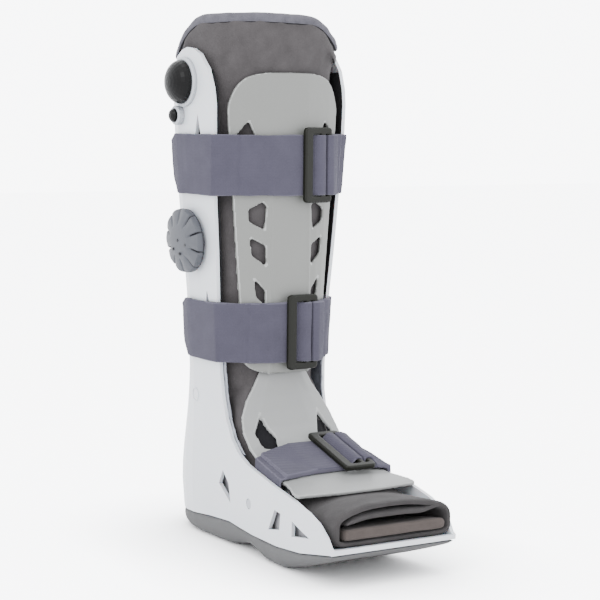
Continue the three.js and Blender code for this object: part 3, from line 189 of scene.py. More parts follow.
# Columns: name, colour, roughness, depth and scale of the patches, depth and scale of the grain
SHELL = look("shell_plastic", (0.47, 0.49, 0.52), 0.36, 0.02, 18, 0.05, 1400, coat=0.15, subsurface=0.08)
COLLAR = look("collar_plastic", (0.3, 0.315, 0.34), 0.4, 0.04, 60, 0.1, 1500)
SOLE = look("sole_rubber", (0.074, 0.074, 0.075), 0.75, 0.08, 40, 0.35, 700, shine=0.2)
PANEL = look("panel_plastic", (0.126, 0.129, 0.122), 0.42, 0.03, 20, 0.12, 1500, shine=0.4)
INSTEP = look("instep_plastic", (0.168, 0.172, 0.17), 0.42, 0.03, 20, 0.12, 1500, shine=0.4)
# Painted highlight for the panels' edges
PANEL_HIGHLIGHT = look("panel_edge_highlight", (0.225, 0.23, 0.225), 0.38, 0.03, 20, 0.1, 1500, shine=0.4)
LOOP = look("loop_cloth", (0.046, 0.0425, 0.0435), 0.95, 0.2, 90, 0.9, 1300, sheen=0.06, shine=0.05)
TOE = look("toe_cloth", (0.032, 0.03, 0.0305), 0.95, 0.2, 90, 0.9, 1300, sheen=0.06, shine=0.05)
# Near-black: the uprights' dark lining, and painted shade inside the liner, under the instep and along the
# rim binding's hems
LINING_AND_SHADE = look("dark_lining_and_painted_shade", (0.008, 0.008, 0.009), 0.95, 0.25, 80, 0.6, 900, sheen=0.03, shine=0.05)
# Painted light: a lighter cloth look for the liner and toe wrap where they are seen through the shell's
# windows
WINDOW_LIGHT = look("window_painted_light", (0.26, 0.26, 0.275), 0.9, 0.1, 60, 0.5, 1100, shine=0.1)
BINDING = look("rim_binding", (0.066, 0.064, 0.076), 0.9, 0.25, 160, 0.6, 1100, sheen=0.08, shine=0.05)
INSOLE = look("insole_cloth", (0.05, 0.042, 0.039), 0.95, 0.12, 120, 0.6, 1200, sheen=0.04, shine=0.05)
WEB = look("webbing", (0.044, 0.0415, 0.058), 0.9, 0.1, 60, 0.35, 1500, sheen=0.05, shine=0.08, weave=260)
SELVAGE = look("strap_edge", (0.064, 0.061, 0.081), 0.9, 0.15, 80, 0.4, 1500, sheen=0.05, shine=0.08)
FILM = look("air_film", (0.17, 0.18, 0.21), 0.18, 0.3, 60, 0.5, 120, coat=0.6)
BUCKLE = look("buckle_plastic", (0.0055, 0.0058, 0.0042), 0.42, 0.08, 60, 0.15, 1500, shine=0.14)
RUBBER = look("bulb_rubber", (0.0012, 0.0012, 0.0013), 0.3, 0.1, 60, 0.1, 900, shine=0.12)
DIAL = look("dial_plastic", (0.052, 0.055, 0.064), 0.45, 0.05, 60, 0.15, 1500, shine=0.25)
# Painted shade for the dial's grooves, its foot and its dots
DIAL_SHADE = look("dial_painted_shade", (0.006, 0.006, 0.009), 0.5, 0.04, 60, 0.1, 1500)


def painted(mesh, *looks):
    for one in looks:
        mesh.materials.append(one)


def smooth(ob, angle):
    for p in ob.data.polygons:
        p.use_smooth = True
    ob.data.set_sharp_from_angle(angle=math.radians(angle))


# Bends from which an edge is drawn sharp, in degrees
HARD_ANGLE = 35
SOFT_ANGLE = 80
TOE_ANGLE = 70
STRAP_ANGLE = 60
DIAL_ANGLE = 50
DOT_ANGLE = 40
RING_ANGLE = 60

# Hard pieces that stay as the frame has them: a look, softened edges and smooth faces
BEVEL_ANGLE = 40


def dress(node, material, edge):
    ob = NODES[node]
    ob.data.materials.clear()
    painted(ob.data, material)
    smooth(ob, HARD_ANGLE)
    bevel = ob.modifiers.new("edge", "BEVEL")
    bevel.width = edge
    bevel.segments = 2
    bevel.limit_method = "ANGLE"
    bevel.angle_limit = math.radians(BEVEL_ANGLE)
    bevel.harden_normals = True


# Columns: node, look, width of the edge
for node, material, edge in (("shell", SHELL, 0.0007),
                             ("bulb_collar", COLLAR, 0.0006),
                             ("button_collar", COLLAR, 0.0006),
                             ("release_button", RUBBER, 0.0004),
                             ("pump_bulb", RUBBER, 0.0004),
                             ("dial_seat", DIAL, 0.0004),
                             ("side_plug_right", COLLAR, 0.0003),
                             ("side_plug_left", COLLAR, 0.0003)):
    dress(node, material, edge)


# Tools for the pieces that this script adds
COARSE = 2
FINE_VOXEL = 0.001
EDGE_STEP = 0.0005
WELD = 0.00001


def link_mesh(name, mesh, body="boot"):
    ob = add_object(name, mesh)
    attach(ob, body)
    return ob


def subdivided(ob):
    fine = ob.modifiers.new("fine", "SUBSURF")
    fine.levels = 1
    fine.render_levels = 1


def fresh(name, node, voxel, rounds, strength=0.5):
    ob = add_object(name + "_blank", NODES[node].data.copy())
    skin = ob.modifiers.new("skin", "REMESH")
    skin.mode = "VOXEL"
    skin.voxel_size = voxel * (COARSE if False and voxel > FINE_VOXEL else 1)
    ease = ob.modifiers.new("ease", "SMOOTH")
    ease.iterations = rounds
    ease.factor = strength
    graph = bpy.context.evaluated_depsgraph_get()
    mesh = bpy.data.meshes.new_from_object(ob.evaluated_get(graph))
    bpy.data.objects.remove(ob)
    mesh.name = name
    mesh.materials.clear()
    return mesh


# Soft folds. Columns of a row: depth, frequency, stretch along x, y and z, seed
EVEN = (1, 1, 1)
LINER_FOLDS = ((0.0011, 40, (1, 1, 0.45), 3.0), (0.0006, 120, EVEN, 9.0))
BINDING_FOLDS = ((0.0007, 110, EVEN, 1.0),)
TOE_FOLDS = ((0.0005, 55, (1, 1.5, 1), 4.0),)
INSOLE_FOLDS = ((0.0005, 60, EVEN, 0.0),)
LINING_FOLDS = ((0.0002, 130, EVEN, 2.0),)
FILM_FOLDS = ((0.0005, 130, EVEN, 2.0),)
STRAP_FOLDS = ((0.0004, 45, EVEN, 5.0), (0.0006, 75, (1, 1, 0.06), 7.0))


def with_normals(mesh):
    """The mesh's points, each with its normal from before any of them moves."""
    return zip(mesh.vertices, [v.normal.copy() for v in mesh.vertices])


def ripple(mesh, folds):
    """Moves the skin along its normals by smooth noise, once for each row of folds."""
    for depth, frequency, stretch, seed in folds:
        for v, n in with_normals(mesh):
            at = Vector([c * frequency * s for c, s in zip(v.co, stretch)]) + Vector((seed, 0, 0))
            v.co += n * depth * noise.noise(at)


def built(name, verts, faces):
    """A mesh from points and faces, with its normals turned outward."""
    mesh = bpy.data.meshes.new(name)
    mesh.from_pydata(verts, [], faces)
    bm = bmesh.new()
    bm.from_mesh(mesh)
    bmesh.ops.recalc_face_normals(bm, faces=bm.faces[:])
    bm.to_mesh(mesh)
    bm.free()
    return mesh


def ring_faces(rows, size, closed=False):
    """Quads between neighbouring rows of points. Each row is a ring, and closed joins last to first."""
    faces = []
    for row in range(rows if closed else rows - 1):
        here, there = row * size, (row + 1) % rows * size
        faces += [(here + k, here + (k + 1) % size, there + (k + 1) % size, there + k) for k in range(size)]
    return faces


def edge_tree(node, bend):
    """Points along the solid's sharp edges, to measure how far a point of the skin is from one."""
    bm = bmesh.new()
    bm.from_mesh(NODES[node].data)
    bmesh.ops.remove_doubles(bm, verts=bm.verts[:], dist=WELD)
    points = []
    for e in bm.edges:
        if len(e.link_faces) == 2 and e.calc_face_angle() > math.radians(bend):
            a, b = (v.co for v in e.verts)
            steps = max(1, int((b - a).length / EDGE_STEP))
            points += [a.lerp(b, i / steps) for i in range(steps + 1)]
    bm.free()
    tree = kdtree.KDTree(len(points))
    for i, at in enumerate(points):
        tree.insert(at, i)
    tree.balance()
    return tree


def edge_strip_look(mesh, node, reach, material, bend):
    """Gives the skin's narrow strip along the solid's sharp edges a look of its own: a painted highlight on
    the panels, the lighter selvage on the straps.
    """
    tree = edge_tree(node, bend)
    painted(mesh, material)
    far = [tree.find(v.co)[2] for v in mesh.vertices]
    for p in mesh.polygons:
        if sum(far[i] for i in p.vertices) / len(p.vertices) < reach:
            p.material_index = len(mesh.materials) - 1


# Liner: quilted skin with soft folds and a rim that is rounded off at two corners
TOE_CUT = -0.118
FOOT_TOP = 0.1
LEG_BACK = 0.008
RIM = 0.44
RIM_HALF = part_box("liner")[1][0]
RIM_ZONE = 0.045
CAD_DIP = 0.016
CAD_POWER = 4
CORNER_DROP = 0.026
CORNER_RUN = 0.023
CORNER_POWER = 0.75
RIM_SAG = 0.003


def rim_top(x, y):
    """Height of the soft rim: level in front, rounded off at the two corners that lie across the view."""
    across = abs(x * math.cos(AZIMUTH) - (y - LEG_BACK) * math.sin(AZIMUTH))
    past = clamped((across - (RIM_HALF - CORNER_RUN)) / CORNER_RUN)
    fall = CORNER_DROP * (1 - (1 - past * past) ** CORNER_POWER)
    return RIM - fall - RIM_SAG * (across / RIM_HALF) ** 2


def trim_toes(mesh):
    """Takes away the skin in front of the instep, where the toe wrap is."""
    bm = bmesh.new()
    bm.from_mesh(mesh)
    ahead = [v for v in bm.verts if v.co.y < TOE_CUT and v.co.z < FOOT_TOP]
    bmesh.ops.delete(bm, geom=ahead, context="VERTS")
    bm.to_mesh(mesh)
    bm.free()


def lift_rim(mesh):
    """Moves the top of the skin from the solid's rim to the soft rim, less and less further down."""
    for v in mesh.vertices:
        cad_top = RIM - CAD_DIP * min(abs(v.co.x) / RIM_HALF, 1) ** CAD_POWER
        share = 1 - (cad_top - v.co.z) / RIM_ZONE
        if share > 0:
            v.co.z += (rim_top(v.co.x, v.co.y) - cad_top) * eased(min(share, 1))


# Where the liner gets painted shade (inside the leg, inside the foot, under the instep) and painted light
# (beside the shell's windows)
ANKLE = 0.12
LEG_INWARD = 0.3
RIM_COVER = 0.004
HEEL_FRONT = -0.02
FOOT_HALF = 0.05
FOOT_MIDDLE = 0.045
FOOT_INWARD = 0.002
WALL_INWARD = 0.02
INSTEP_TOP = 0.125
INSTEP_BACK = -0.045
INSTEP_HALF = 0.037
INSTEP_UPWARD = 0.5
WINDOW_TOP = 0.07
WINDOW_OUT = 0.025
SIDEWAYS = 0.6


def sideways(at, normal):
    return normal.x * at.x > SIDEWAYS * abs(at.x)


def inside_leg(at, normal):
    deep = at.y - LEG_BACK
    inward = normal.x * at.x + normal.y * deep < -LEG_INWARD * math.hypot(at.x, deep)
    return at.z > ANKLE and inward and at.z < rim_top(at.x, at.y) - RIM_COVER


def inside_foot(at, normal):
    lies_in = abs(at.x) < FOOT_HALF and normal.z * (FOOT_MIDDLE - at.z) > FOOT_INWARD
    return at.z <= ANKLE and at.y < HEEL_FRONT and (lies_in or normal.x * at.x < -WALL_INWARD)


def under_instep(at, normal):
    along = TOE_CUT < at.y < INSTEP_BACK
    return along and at.z < INSTEP_TOP and abs(at.x) < INSTEP_HALF and normal.z - normal.y > INSTEP_UPWARD


def liner_look(at, normal):
    """Place in the liner's list of looks: 0 outside, 1 painted shade, 2 painted light beside the shell's
    windows.
    """
    if at.z < WINDOW_TOP and abs(at.x) > WINDOW_OUT and sideways(at, normal):
        return 2
    return int(inside_leg(at, normal) or inside_foot(at, normal) or under_instep(at, normal))


liner_mesh = fresh("padded_liner", "liner", voxel=0.0027, rounds=5)
trim_toes(liner_mesh)
lift_rim(liner_mesh)
ripple(liner_mesh, LINER_FOLDS)
painted(liner_mesh, LOOP, LINING_AND_SHADE, WINDOW_LIGHT)
# Painted shade inside the leg, the foot and under the instep; painted light on the sides seen through the
# windows
for p in liner_mesh.polygons:
    p.material_index = liner_look(p.center, p.normal)
liner = link_mesh("padded_liner", liner_mesh)
smooth(liner, SOFT_ANGLE)
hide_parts("liner")

# Rim binding: soft tape folded over the liner's rim. A hem row says how far in and up from the belt.
BELT = 0.0066
BINDING_STEPS = 150
BINDING_BAND = (0.004, 0.014)
BINDING_LOOSE = 0.0011
BINDING_EASE = 4
HEM = ((0.0013, -0.0014), (0.0009, -0.0002), (0.0, 0.0006))
ARC_STEPS = 14
ARC_FOOT = -0.0042
ARC_RISE = 0.0049
ARC_POWER = 0.8
BINDING_SIZE = ARC_STEPS + 1 + 2 * len(HEM)
NO_OUTER = 0.0
NO_INNER = 1.0


def rim_lines(skin):
    """Radius of the skin's outer and inner line just under the rim, step by step round the leg."""
    outer = [NO_OUTER] * BINDING_STEPS
    inner = [NO_INNER] * BINDING_STEPS
    for v in skin.vertices:
        x, y = v.co.x, v.co.y - LEG_BACK
        if BINDING_BAND[0] < rim_top(v.co.x, v.co.y) - v.co.z < BINDING_BAND[1]:
            k = int((math.atan2(y, x) / (2 * math.pi)) % 1 * BINDING_STEPS) % BINDING_STEPS
            outer[k] = max(outer[k], math.hypot(x, y))
            inner[k] = min(inner[k], math.hypot(x, y))
    return eased_line(outer, NO_OUTER), eased_line(inner, NO_INNER)


def eased_line(line, empty):
    """The closed line with its empty steps filled from the one before, and each step averaged."""
    for k, radius in enumerate(line):
        if radius == empty:
            line[k] = line[k - 1]
    near = range(-BINDING_EASE, BINDING_EASE + 1)
    return [sum(line[(k + j) % len(line)] for j in near) / len(near) for k in range(len(line))]


def tape_section(half):
    """Points over the rim: the outer hem, an arc over the top, the inner hem."""
    hem = [(half - inset, rise - BELT) for inset, rise in HEM]
    turns = [math.pi * i / ARC_STEPS for i in range(ARC_STEPS + 1)]
    arc = [(half * math.cos(a), ARC_FOOT + ARC_RISE * math.sin(a) ** ARC_POWER) for a in turns]
    return hem + arc + [(-out, up) for out, up in reversed(hem)]


def rim_binding(skin):
    """The tape, set on the skin's own outer and inner line."""
    outer, inner = rim_lines(skin)
    verts = []
    for k in range(BINDING_STEPS):
        a = 2 * math.pi * (k + 0.5) / BINDING_STEPS
        middle = (outer[k] + inner[k]) / 2
        top = rim_top(middle * math.cos(a), LEG_BACK + middle * math.sin(a))
        for out, up in tape_section((outer[k] - inner[k]) / 2 + BINDING_LOOSE):
            r = middle + out
            verts.append((r * math.cos(a), LEG_BACK + r * math.sin(a), top + up))
    return built("rim_binding", verts, ring_faces(BINDING_STEPS, BINDING_SIZE, closed=True))


binding_mesh = rim_binding(liner_mesh)
ripple(binding_mesh, BINDING_FOLDS)
painted(binding_mesh, BINDING, LINING_AND_SHADE)
# Painted shade: the lowest strip of each hem takes the near-black look, as the dark seam line under the tape
for p in binding_mesh.polygons:
    p.material_index = 1 if p.index % BINDING_SIZE in (0, BINDING_SIZE - 2) else 0
binding = link_mesh("rim_binding", binding_mesh)
smooth(binding, SOFT_ANGLE)
subdivided(binding)

# Toe wrap: one padded band wound like a spiral, through under flap, side, floor, side and over flap
TOE_BAND = 0.0048
TOE_START = 0.108
TOE_LENGTH = 0.0875
TOE_STATIONS = 24
TOE_TAPER_FROM = 0.11
TOE_TAPER_RUN = 0.085
TOE_HALF = 0.0498
TOE_FLARE = 0.003
TOE_FLOOR = 0.0228
TOE_SPRING = 0.0086
TOE_SPRING_POWER = 1.3
TOE_SPREAD = 1.09
TOE_FRONT = 0.19
TOE_FRONT_RUN = 0.0055
TOE_FRONT_THIN = 0.25
FLAP = 0.44
UNDER_STEPS = 44
FLOOR_STEPS = 20
OVER_STEPS = 55
FLOOR_INSET = 0.006
TUCK_FROM = 0.46
TUCK_RUN = 0.3
TUCK_GAP = 0.0022
FLAP_WAVE = 0.0006
FLAP_WAVE_RATE = 9
FLAP_WAVE_START = 2
TIP = 0.45
TIP_GROWTH = 0.15
# Columns: distance ahead of the origin, height of the toe's top
TOE_TOPS = ((0.1, 0.0705), (0.111, 0.0688), (0.121, 0.0663), (0.131, 0.0642), (0.145, 0.0612),
            (0.152, 0.06), (0.163, 0.0618), (0.2, 0.0632))
# The foot's outline: where its sides begin, how square its top is and how far it stays off the floor
SIDE_SHARE = 0.75
WAIST = 0.4
SQUARENESS = 0.714
SIDE_FOOT = 0.003


def rounded(half, low, high, share):
    """Point on the foot's outer line: share -1 and 1 are the sides at the floor, 0 the top."""
    side = 1 if share > 0 else -1
    waist = low + WAIST * (high - low)
    s = abs(share)
    if s > SIDE_SHARE:
        return side * half, waist - (s - SIDE_SHARE) / (1 - SIDE_SHARE) * (waist - low - SIDE_FOOT)
    angle = s / SIDE_SHARE * math.pi / 2
    return side * half * math.sin(angle) ** SQUARENESS, waist + (high - waist) * math.cos(angle) ** SQUARENESS


def toe_top(ahead):
    """Height of the toe's top, between the rows of its table."""
    for (start, low), (stop, high) in zip(TOE_TOPS, TOE_TOPS[1:]):
        if ahead <= stop:
            return low + (ahead - start) / (stop - start) * (high - low)


def toe_line(ahead):
    """The band's middle line at one station, from the end of the under flap to that of the over flap."""
    taper = (ahead - TOE_TAPER_FROM) / TOE_TAPER_RUN
    half = TOE_HALF + TOE_FLARE * taper
    floor_height = TOE_FLOOR + TOE_SPRING * max(taper, 0) ** TOE_SPRING_POWER + TOE_BAND / 2
    outline = half - TOE_BAND / 2, floor_height, toe_top(ahead) - TOE_BAND / 2
    line = []
    for i in range(UNDER_STEPS + 1):
        share = -FLAP + (1 + FLAP) * i / UNDER_STEPS
        x, z = rounded(*outline, share)
        tuck = eased(clamped((TUCK_FROM - share) / TUCK_RUN))
        line.append((x, z - tuck * (TOE_BAND + TUCK_GAP)))
    for i in range(FLOOR_STEPS + 1):
        line.append(((half - FLOOR_INSET) * (1 - 2 * i / FLOOR_STEPS), floor_height))
    for i in range(OVER_STEPS + 1):
        share = -1 + (1 + FLAP) * i / OVER_STEPS
        x, z = rounded(*outline, share)
        line.append((x, z + FLAP_WAVE * math.sin(FLAP_WAVE_RATE * share + FLAP_WAVE_START)))
    return line


def toe_ring(ahead):
    """The band's closed outline at one station: along one face of it and back along the other."""
    line = toe_line(ahead)
    last = len(line) - 1
    front = 1 - TOE_FRONT_THIN * max(0, (ahead - TOE_FRONT) / TOE_FRONT_RUN) ** 2
    faces = []
    for sign in (1, -1):
        face = []
        for i, (x, z) in enumerate(line):
            before, after = line[max(i - 1, 0)], line[min(i + 1, last)]
            dx, dz = after[0] - before[0], after[1] - before[1]
            run = math.hypot(dx, dz) or 1
            away = sign * TOE_BAND / 2 * front * min(1, TIP + TIP_GROWTH * min(i, last - i))
            face.append((x + away * dz / run, -ahead, z - away * dx / run))
        faces.append(face)
    ring = faces[0] + faces[1][::-1]
    return [(x * (TOE_SPREAD if x > 0 else 1), y, z) for x, y, z in ring]


def toe_wrap():
    stations = [TOE_START + TOE_LENGTH * i / TOE_STATIONS for i in range(TOE_STATIONS + 1)]
    rings = [toe_ring(ahead) for ahead in stations]
    size = len(rings[0])
    faces = ring_faces(len(rings), size)
    for base, flip in ((0, False), ((len(rings) - 1) * size, True)):
        for k in range(size // 2 - 1):
            quad = (base + k, base + size - 1 - k, base + size - 2 - k, base + k + 1)
            faces.append(quad[::-1] if flip else quad)
    return built("toe_wrap", [point for ring in rings for point in ring], faces)


TOE_WINDOW_FRONT = -0.152
TOE_WINDOW_TOP = 0.05
toe_mesh = toe_wrap()
ripple(toe_mesh, TOE_FOLDS)
painted(toe_mesh, TOE, WINDOW_LIGHT)
# Painted light on the toe wrap's sides behind the shell's toe window
for p in toe_mesh.polygons:
    behind_window = p.center.y > TOE_WINDOW_FRONT and p.center.z < TOE_WINDOW_TOP
    p.material_index = int(behind_window and sideways(p.center, p.normal))
toe = link_mesh("toe_wrap", toe_mesh)
smooth(toe, TOE_ANGLE)
subdivided(toe)

# Insole: foam that widens on the big toe's side, as the toe wrap does
INSOLE_SPREAD = 0.08
SPREAD_FROM = 0.09
SPREAD_RUN = 0.05
insole_mesh = fresh("padded_insole", "insole", voxel=0.0018, rounds=5)
for v in insole_mesh.vertices:
    if v.co.x > 0:
        v.co.x *= 1 + INSOLE_SPREAD * clamped((-v.co.y - SPREAD_FROM) / SPREAD_RUN)
ripple(insole_mesh, INSOLE_FOLDS)
painted(insole_mesh, INSOLE)
insole = link_mesh("padded_insole", insole_mesh)
smooth(insole, SOFT_ANGLE)
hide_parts("insole")

# Linings and air cells. Columns: kind, look, slot, folds
for side in ("right", "left"):
    # The uprights' linings are near-black: their own dark lining together with painted shade of the gap
    # between upright and liner
    for kind, material, slot, folds in (("upright_lining", LINING_AND_SHADE, "lining", LINING_FOLDS),
                                        ("air_cell", FILM, "air_film", FILM_FOLDS)):
        mesh = fresh(f"{kind}_pad_{side}", f"{kind}_{side}", voxel=0.0009, rounds=2)
        ripple(mesh, folds)
        painted(mesh, material)
        pad = link_mesh(f"{kind}_pad_{side}", mesh)
        smooth(pad, SOFT_ANGLE)
        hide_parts(f"{kind}_{side}")

# Sole, panels and buckles, with the rounded rims of a moulding and a painted highlight along the panels'
# edges
EDGE_STRIP_REACH = 0.0009
EDGE_STRIP_BEND = 50
BUCKLE_FULLER = 0.0007
FACES_FRONT = -0.3
CORNER_FALL = 0.011
CORNER_ZONE = 0.05
CORNER_RISE = 0.035
CORNER_START = 0.7
PANEL_SHOULDER = 0.04
RIDGE = 0.0185
RIDGE_HEIGHT = 0.0009
RIDGE_WIDTH = 0.0012


def panel_corners(mesh):
    """Rounds off the shin panel's two upper corners and raises its two long ridges."""
    top = max(v.co.z for v in mesh.vertices)
    half = max(abs(v.co.x) for v in mesh.vertices if v.co.z > top - PANEL_SHOULDER)
    for v, n in with_normals(mesh):
        above = v.co.z - (top - CORNER_ZONE)
        out = clamped((abs(v.co.x) / half - CORNER_START) / (1 - CORNER_START))
        fall = CORNER_FALL * (1 - math.sqrt(1 - out * out)) * clamped(above / CORNER_RISE)
        if n.y < FACES_FRONT:
            ridge = RIDGE_HEIGHT * clamped(-above / CORNER_ZONE) * hump(abs(v.co.x) - RIDGE, RIDGE_WIDTH)
            v.co += n * ridge
        v.co.z -= fall


# Columns: node, look, voxel, rounds of smoothing, slot
for node, material, voxel, rounds, slot in (("sole", SOLE, 0.002, 10, "sole"),
                                            ("shin_panel", PANEL, 0.001, 10, "panel"),
                                            ("instep_panel", INSTEP, 0.00095, 7, "panel"),
                                            ("upper_buckle", BUCKLE, 0.0005, 4, "buckle"),
                                            ("lower_buckle", BUCKLE, 0.0005, 4, "buckle"),
                                            ("foot_buckle", BUCKLE, 0.0005, 4, "buckle")):
    mesh = fresh(f"{node}_moulding", node, voxel, rounds)
    painted(mesh, material)
    if slot == "panel":
        # Painted highlight along the panel's sharp edges
        edge_strip_look(mesh, node, EDGE_STRIP_REACH, PANEL_HIGHLIGHT, EDGE_STRIP_BEND)
    if slot == "buckle":
        for v, n in with_normals(mesh):
            v.co += n * BUCKLE_FULLER
    if node == "shin_panel":
        panel_corners(mesh)
    piece = link_mesh(f"{node}_moulding", mesh)
    smooth(piece, SOFT_ANGLE)
    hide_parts(node)

# Straps: woven bands with rounded edges, soft upright creases and a lighter selvage
CREASES = {"upper_strap": -0.046, "lower_strap": -0.037}
CREASE_DEPTH = 0.0006
CREASE_WIDTH = 0.0013
TAIL = 0.011
CLIP_LOW = 0.012
CLIP_HIGH = 0.006
SELVAGE_BEND = 75


def strap_details(mesh, node):
    """Clips the corners of a leg strap's tail and presses one upright crease into its front."""
    low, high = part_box(node)
    middle, half = (low[2] + high[2]) / 2, (high[2] - low[2]) / 2
    end = max(v.co.y for v in mesh.vertices if v.co.x < 0)
    for v, n in with_normals(mesh):
        if n.y < FACES_FRONT:
            v.co -= n * CREASE_DEPTH * hump(v.co.x - CREASES[node], CREASE_WIDTH)
        if v.co.x < 0:
            near_end = clamped((v.co.y - end + TAIL) / TAIL)
            over = (v.co.z - middle) / half
            v.co.z -= near_end * over ** 3 * (CLIP_LOW if over < 0 else CLIP_HIGH)


for place in ("upper", "lower", "foot"):
    for node in (f"{place}_strap", f"{place}_anchor_strap"):
        mesh = fresh(f"{node}_web", node, voxel=0.00084, rounds=3, strength=0.4)
        ripple(mesh, STRAP_FOLDS)
        if node in CREASES:
            strap_details(mesh, node)
        painted(mesh, WEB)
        edge_strip_look(mesh, node, EDGE_STRIP_REACH, SELVAGE, SELVAGE_BEND)
        band = link_mesh(f"{node}_web", mesh)
        smooth(band, STRAP_ANGLE)
        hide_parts(node)

# Dial: a dome with deep radial grooves and a scalloped rim, which turns with its body. Its grooves and foot
# carry painted shade.
DIAL_HUB = Vector(JOINTS["dial_turn"]["pos_m"])
DIAL_OUT = Vector(JOINTS["dial_turn"]["axis"]).normalized()
DIAL_BACK = Vector((0, 1, 0))
DIAL_UP = DIAL_OUT.cross(DIAL_BACK)
DIAL_LOW, DIAL_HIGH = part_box("selector_dial")
DIAL_RADIUS = (DIAL_HIGH[1] - DIAL_LOW[1]) / 2
DIAL_FOOT = 0.0023
DIAL_TALL = 0.011
DIAL_GROOVES = 10
DIAL_RAYS = 220
DOME_RINGS = 40
RIM_RINGS = 12
DOME_SHARE = 0.965
DOME_DROP = 0.34
DOME_POWER = 2.4
RIM_LOW = 0.36
RIM_ROUND = 0.3
# Columns: share of the radius, share of the height
DIAL_FLANK = [(1.0, 0.2), (0.985, 0.05), (0.94, 0.0), (0.5, 0.0)]
GROOVE_STEP = 2 * math.pi / DIAL_GROOVES
GROOVE_START = 0.5
GROOVE_RUN = 0.22
GROOVE_WIDTH = 0.0008
GROOVE_DEPTH = 0.0021
PETAL_DEPTH = 0.0006
RIM_FROM = 0.9
RIM_GROOVE = 0.0007
RIM_PETAL = 0.0003
DARK_HALF = 0.00045
DARK_FROM = 0.64
DARK_TO = 0.985
DARK_FOOT = 0.17


def dial_profile():
    """Rows of share of the radius and share of the height: the dome, the round rim, the flank."""
    dome = []
    for i in range(1, DOME_RINGS + 1):
        r = i / DOME_RINGS
        dome.append((r * DOME_SHARE, 1 - DOME_DROP * r ** DOME_POWER))
    rim = []
    for i in range(1, RIM_RINGS + 1):
        a = math.pi / 2 * i / RIM_RINGS
        rim.append((DOME_SHARE + (1 - DOME_SHARE) * math.sin(a), RIM_LOW + RIM_ROUND * math.cos(a)))
    return dome + rim + DIAL_FLANK


def dial_point(share, tall, a):
    """Point of the dial at a share of its radius, a share of its height and an angle."""
    off = (a / GROOVE_STEP) % 1 - 0.5
    r = share * DIAL_RADIUS
    start = clamped((share - GROOVE_START) / GROOVE_RUN)
    cut = hump(off * GROOVE_STEP * r, GROOVE_WIDTH) * start
    petal = math.cos(math.pi * off) ** 2 * start
    lift = DIAL_FOOT + DIAL_TALL * tall - (GROOVE_DEPTH * cut + PETAL_DEPTH * petal) * min(tall * 2, 1)
    if share > RIM_FROM:
        r -= RIM_PETAL * petal + RIM_GROOVE * cut
    return DIAL_HUB + DIAL_OUT * lift + DIAL_BACK * r * math.cos(a) + DIAL_UP * r * math.sin(a)


def dial_cap():
    profile = dial_profile()
    turns = [2 * math.pi * k / DIAL_RAYS for k in range(DIAL_RAYS)]
    verts = [dial_point(share, tall, a) for share, tall in profile for a in turns]
    faces = ring_faces(len(profile), DIAL_RAYS)
    faces.append([(len(profile) - 1) * DIAL_RAYS + k for k in range(DIAL_RAYS)])
    hub = len(verts)
    verts.append(DIAL_HUB + DIAL_OUT * (DIAL_FOOT + DIAL_TALL))
    faces += [(hub, k, (k + 1) % DIAL_RAYS) for k in range(DIAL_RAYS)]
    return built("dial_cap", verts, faces)


def dark_on_dial(at):
    """Whether a place on the dial lies in a groove or at the dial's foot, where it gets painted shade."""
    off = at - DIAL_HUB
    back, up = off.dot(DIAL_BACK), off.dot(DIAL_UP)
    r = math.hypot(up, back)
    aside = abs(math.atan2(up, back) / GROOVE_STEP % 1 - 0.5) * GROOVE_STEP * r
    in_groove = aside < DARK_HALF and DARK_FROM < r / DIAL_RADIUS < DARK_TO
    return in_groove or off.dot(DIAL_OUT) < DIAL_FOOT + DARK_FOOT * DIAL_TALL


cap_mesh = dial_cap()
painted(cap_mesh, DIAL, DIAL_SHADE)
# Painted shade in the grooves and a painted shadow at the foot, where the dial meets the shell
for p in cap_mesh.polygons:
    p.material_index = int(dark_on_dial(p.center))
cap = link_mesh("dial_cap", cap_mesh, "dial")
smooth(cap, DIAL_ANGLE)
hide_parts("selector_dial")

# Dots on the dial's face: one in the middle and six round it, laid on the dome, near-black as painted shade
# so they read as dimples
DOT_RADIUS = 0.0014
DOT_TOP = 0.8
DOT_TALL = 0.0022
DOT_INSET = 0.0012
DOT_CIRCLE = 0.0115
DOT_COUNT = 6
DOT_TURN = 0.3
DOT_SEGMENTS = 24
DOT_DROP = 0.0014
DOT_LEAN = 0.085
DOT_TILT = -5.5


def dot_place(r, a):
    up, back = r * math.sin(a), r * math.cos(a)
    out = DIAL_LOW[0] + DOT_INSET + DOT_DROP * (r / DOT_CIRCLE) ** 2 + DOT_LEAN * up
    at = Matrix.Translation((out, DIAL_HUB.y + back, DIAL_HUB.z + up))
    tilt = Matrix.Rotation(math.radians(DOT_TILT), 4, "Y")
    return at @ tilt @ Matrix.Rotation(-math.pi / 2, 4, "Y")


def dial_dots():
    bm = bmesh.new()
    circle = [(DOT_CIRCLE, 2 * math.pi * k / DOT_COUNT + DOT_TURN) for k in range(DOT_COUNT)]
    for r, a in [(0.0, 0.0)] + circle:
        bmesh.ops.create_cone(bm, cap_ends=True, segments=DOT_SEGMENTS, radius1=DOT_RADIUS,
                              radius2=DOT_RADIUS * DOT_TOP, depth=DOT_TALL, matrix=dot_place(r, a))
    mesh = bpy.data.meshes.new("dial_dots")
    bm.to_mesh(mesh)
    bm.free()
    return mesh


dots_mesh = dial_dots()
painted(dots_mesh, DIAL_SHADE)
dots = link_mesh("dial_dots", dots_mesh, "dial")
smooth(dots, DOT_ANGLE)

# Ankle ring: a thin moulded ring that lies on the shell's outer side. Rays find the shell from outside.
RING_START = Vector((-0.2, 0.024, 0.121))
RING_RADIUS = 0.0055
RING_WIRE = 0.0007
RING_STEPS = 32
RING_SIDES = 8


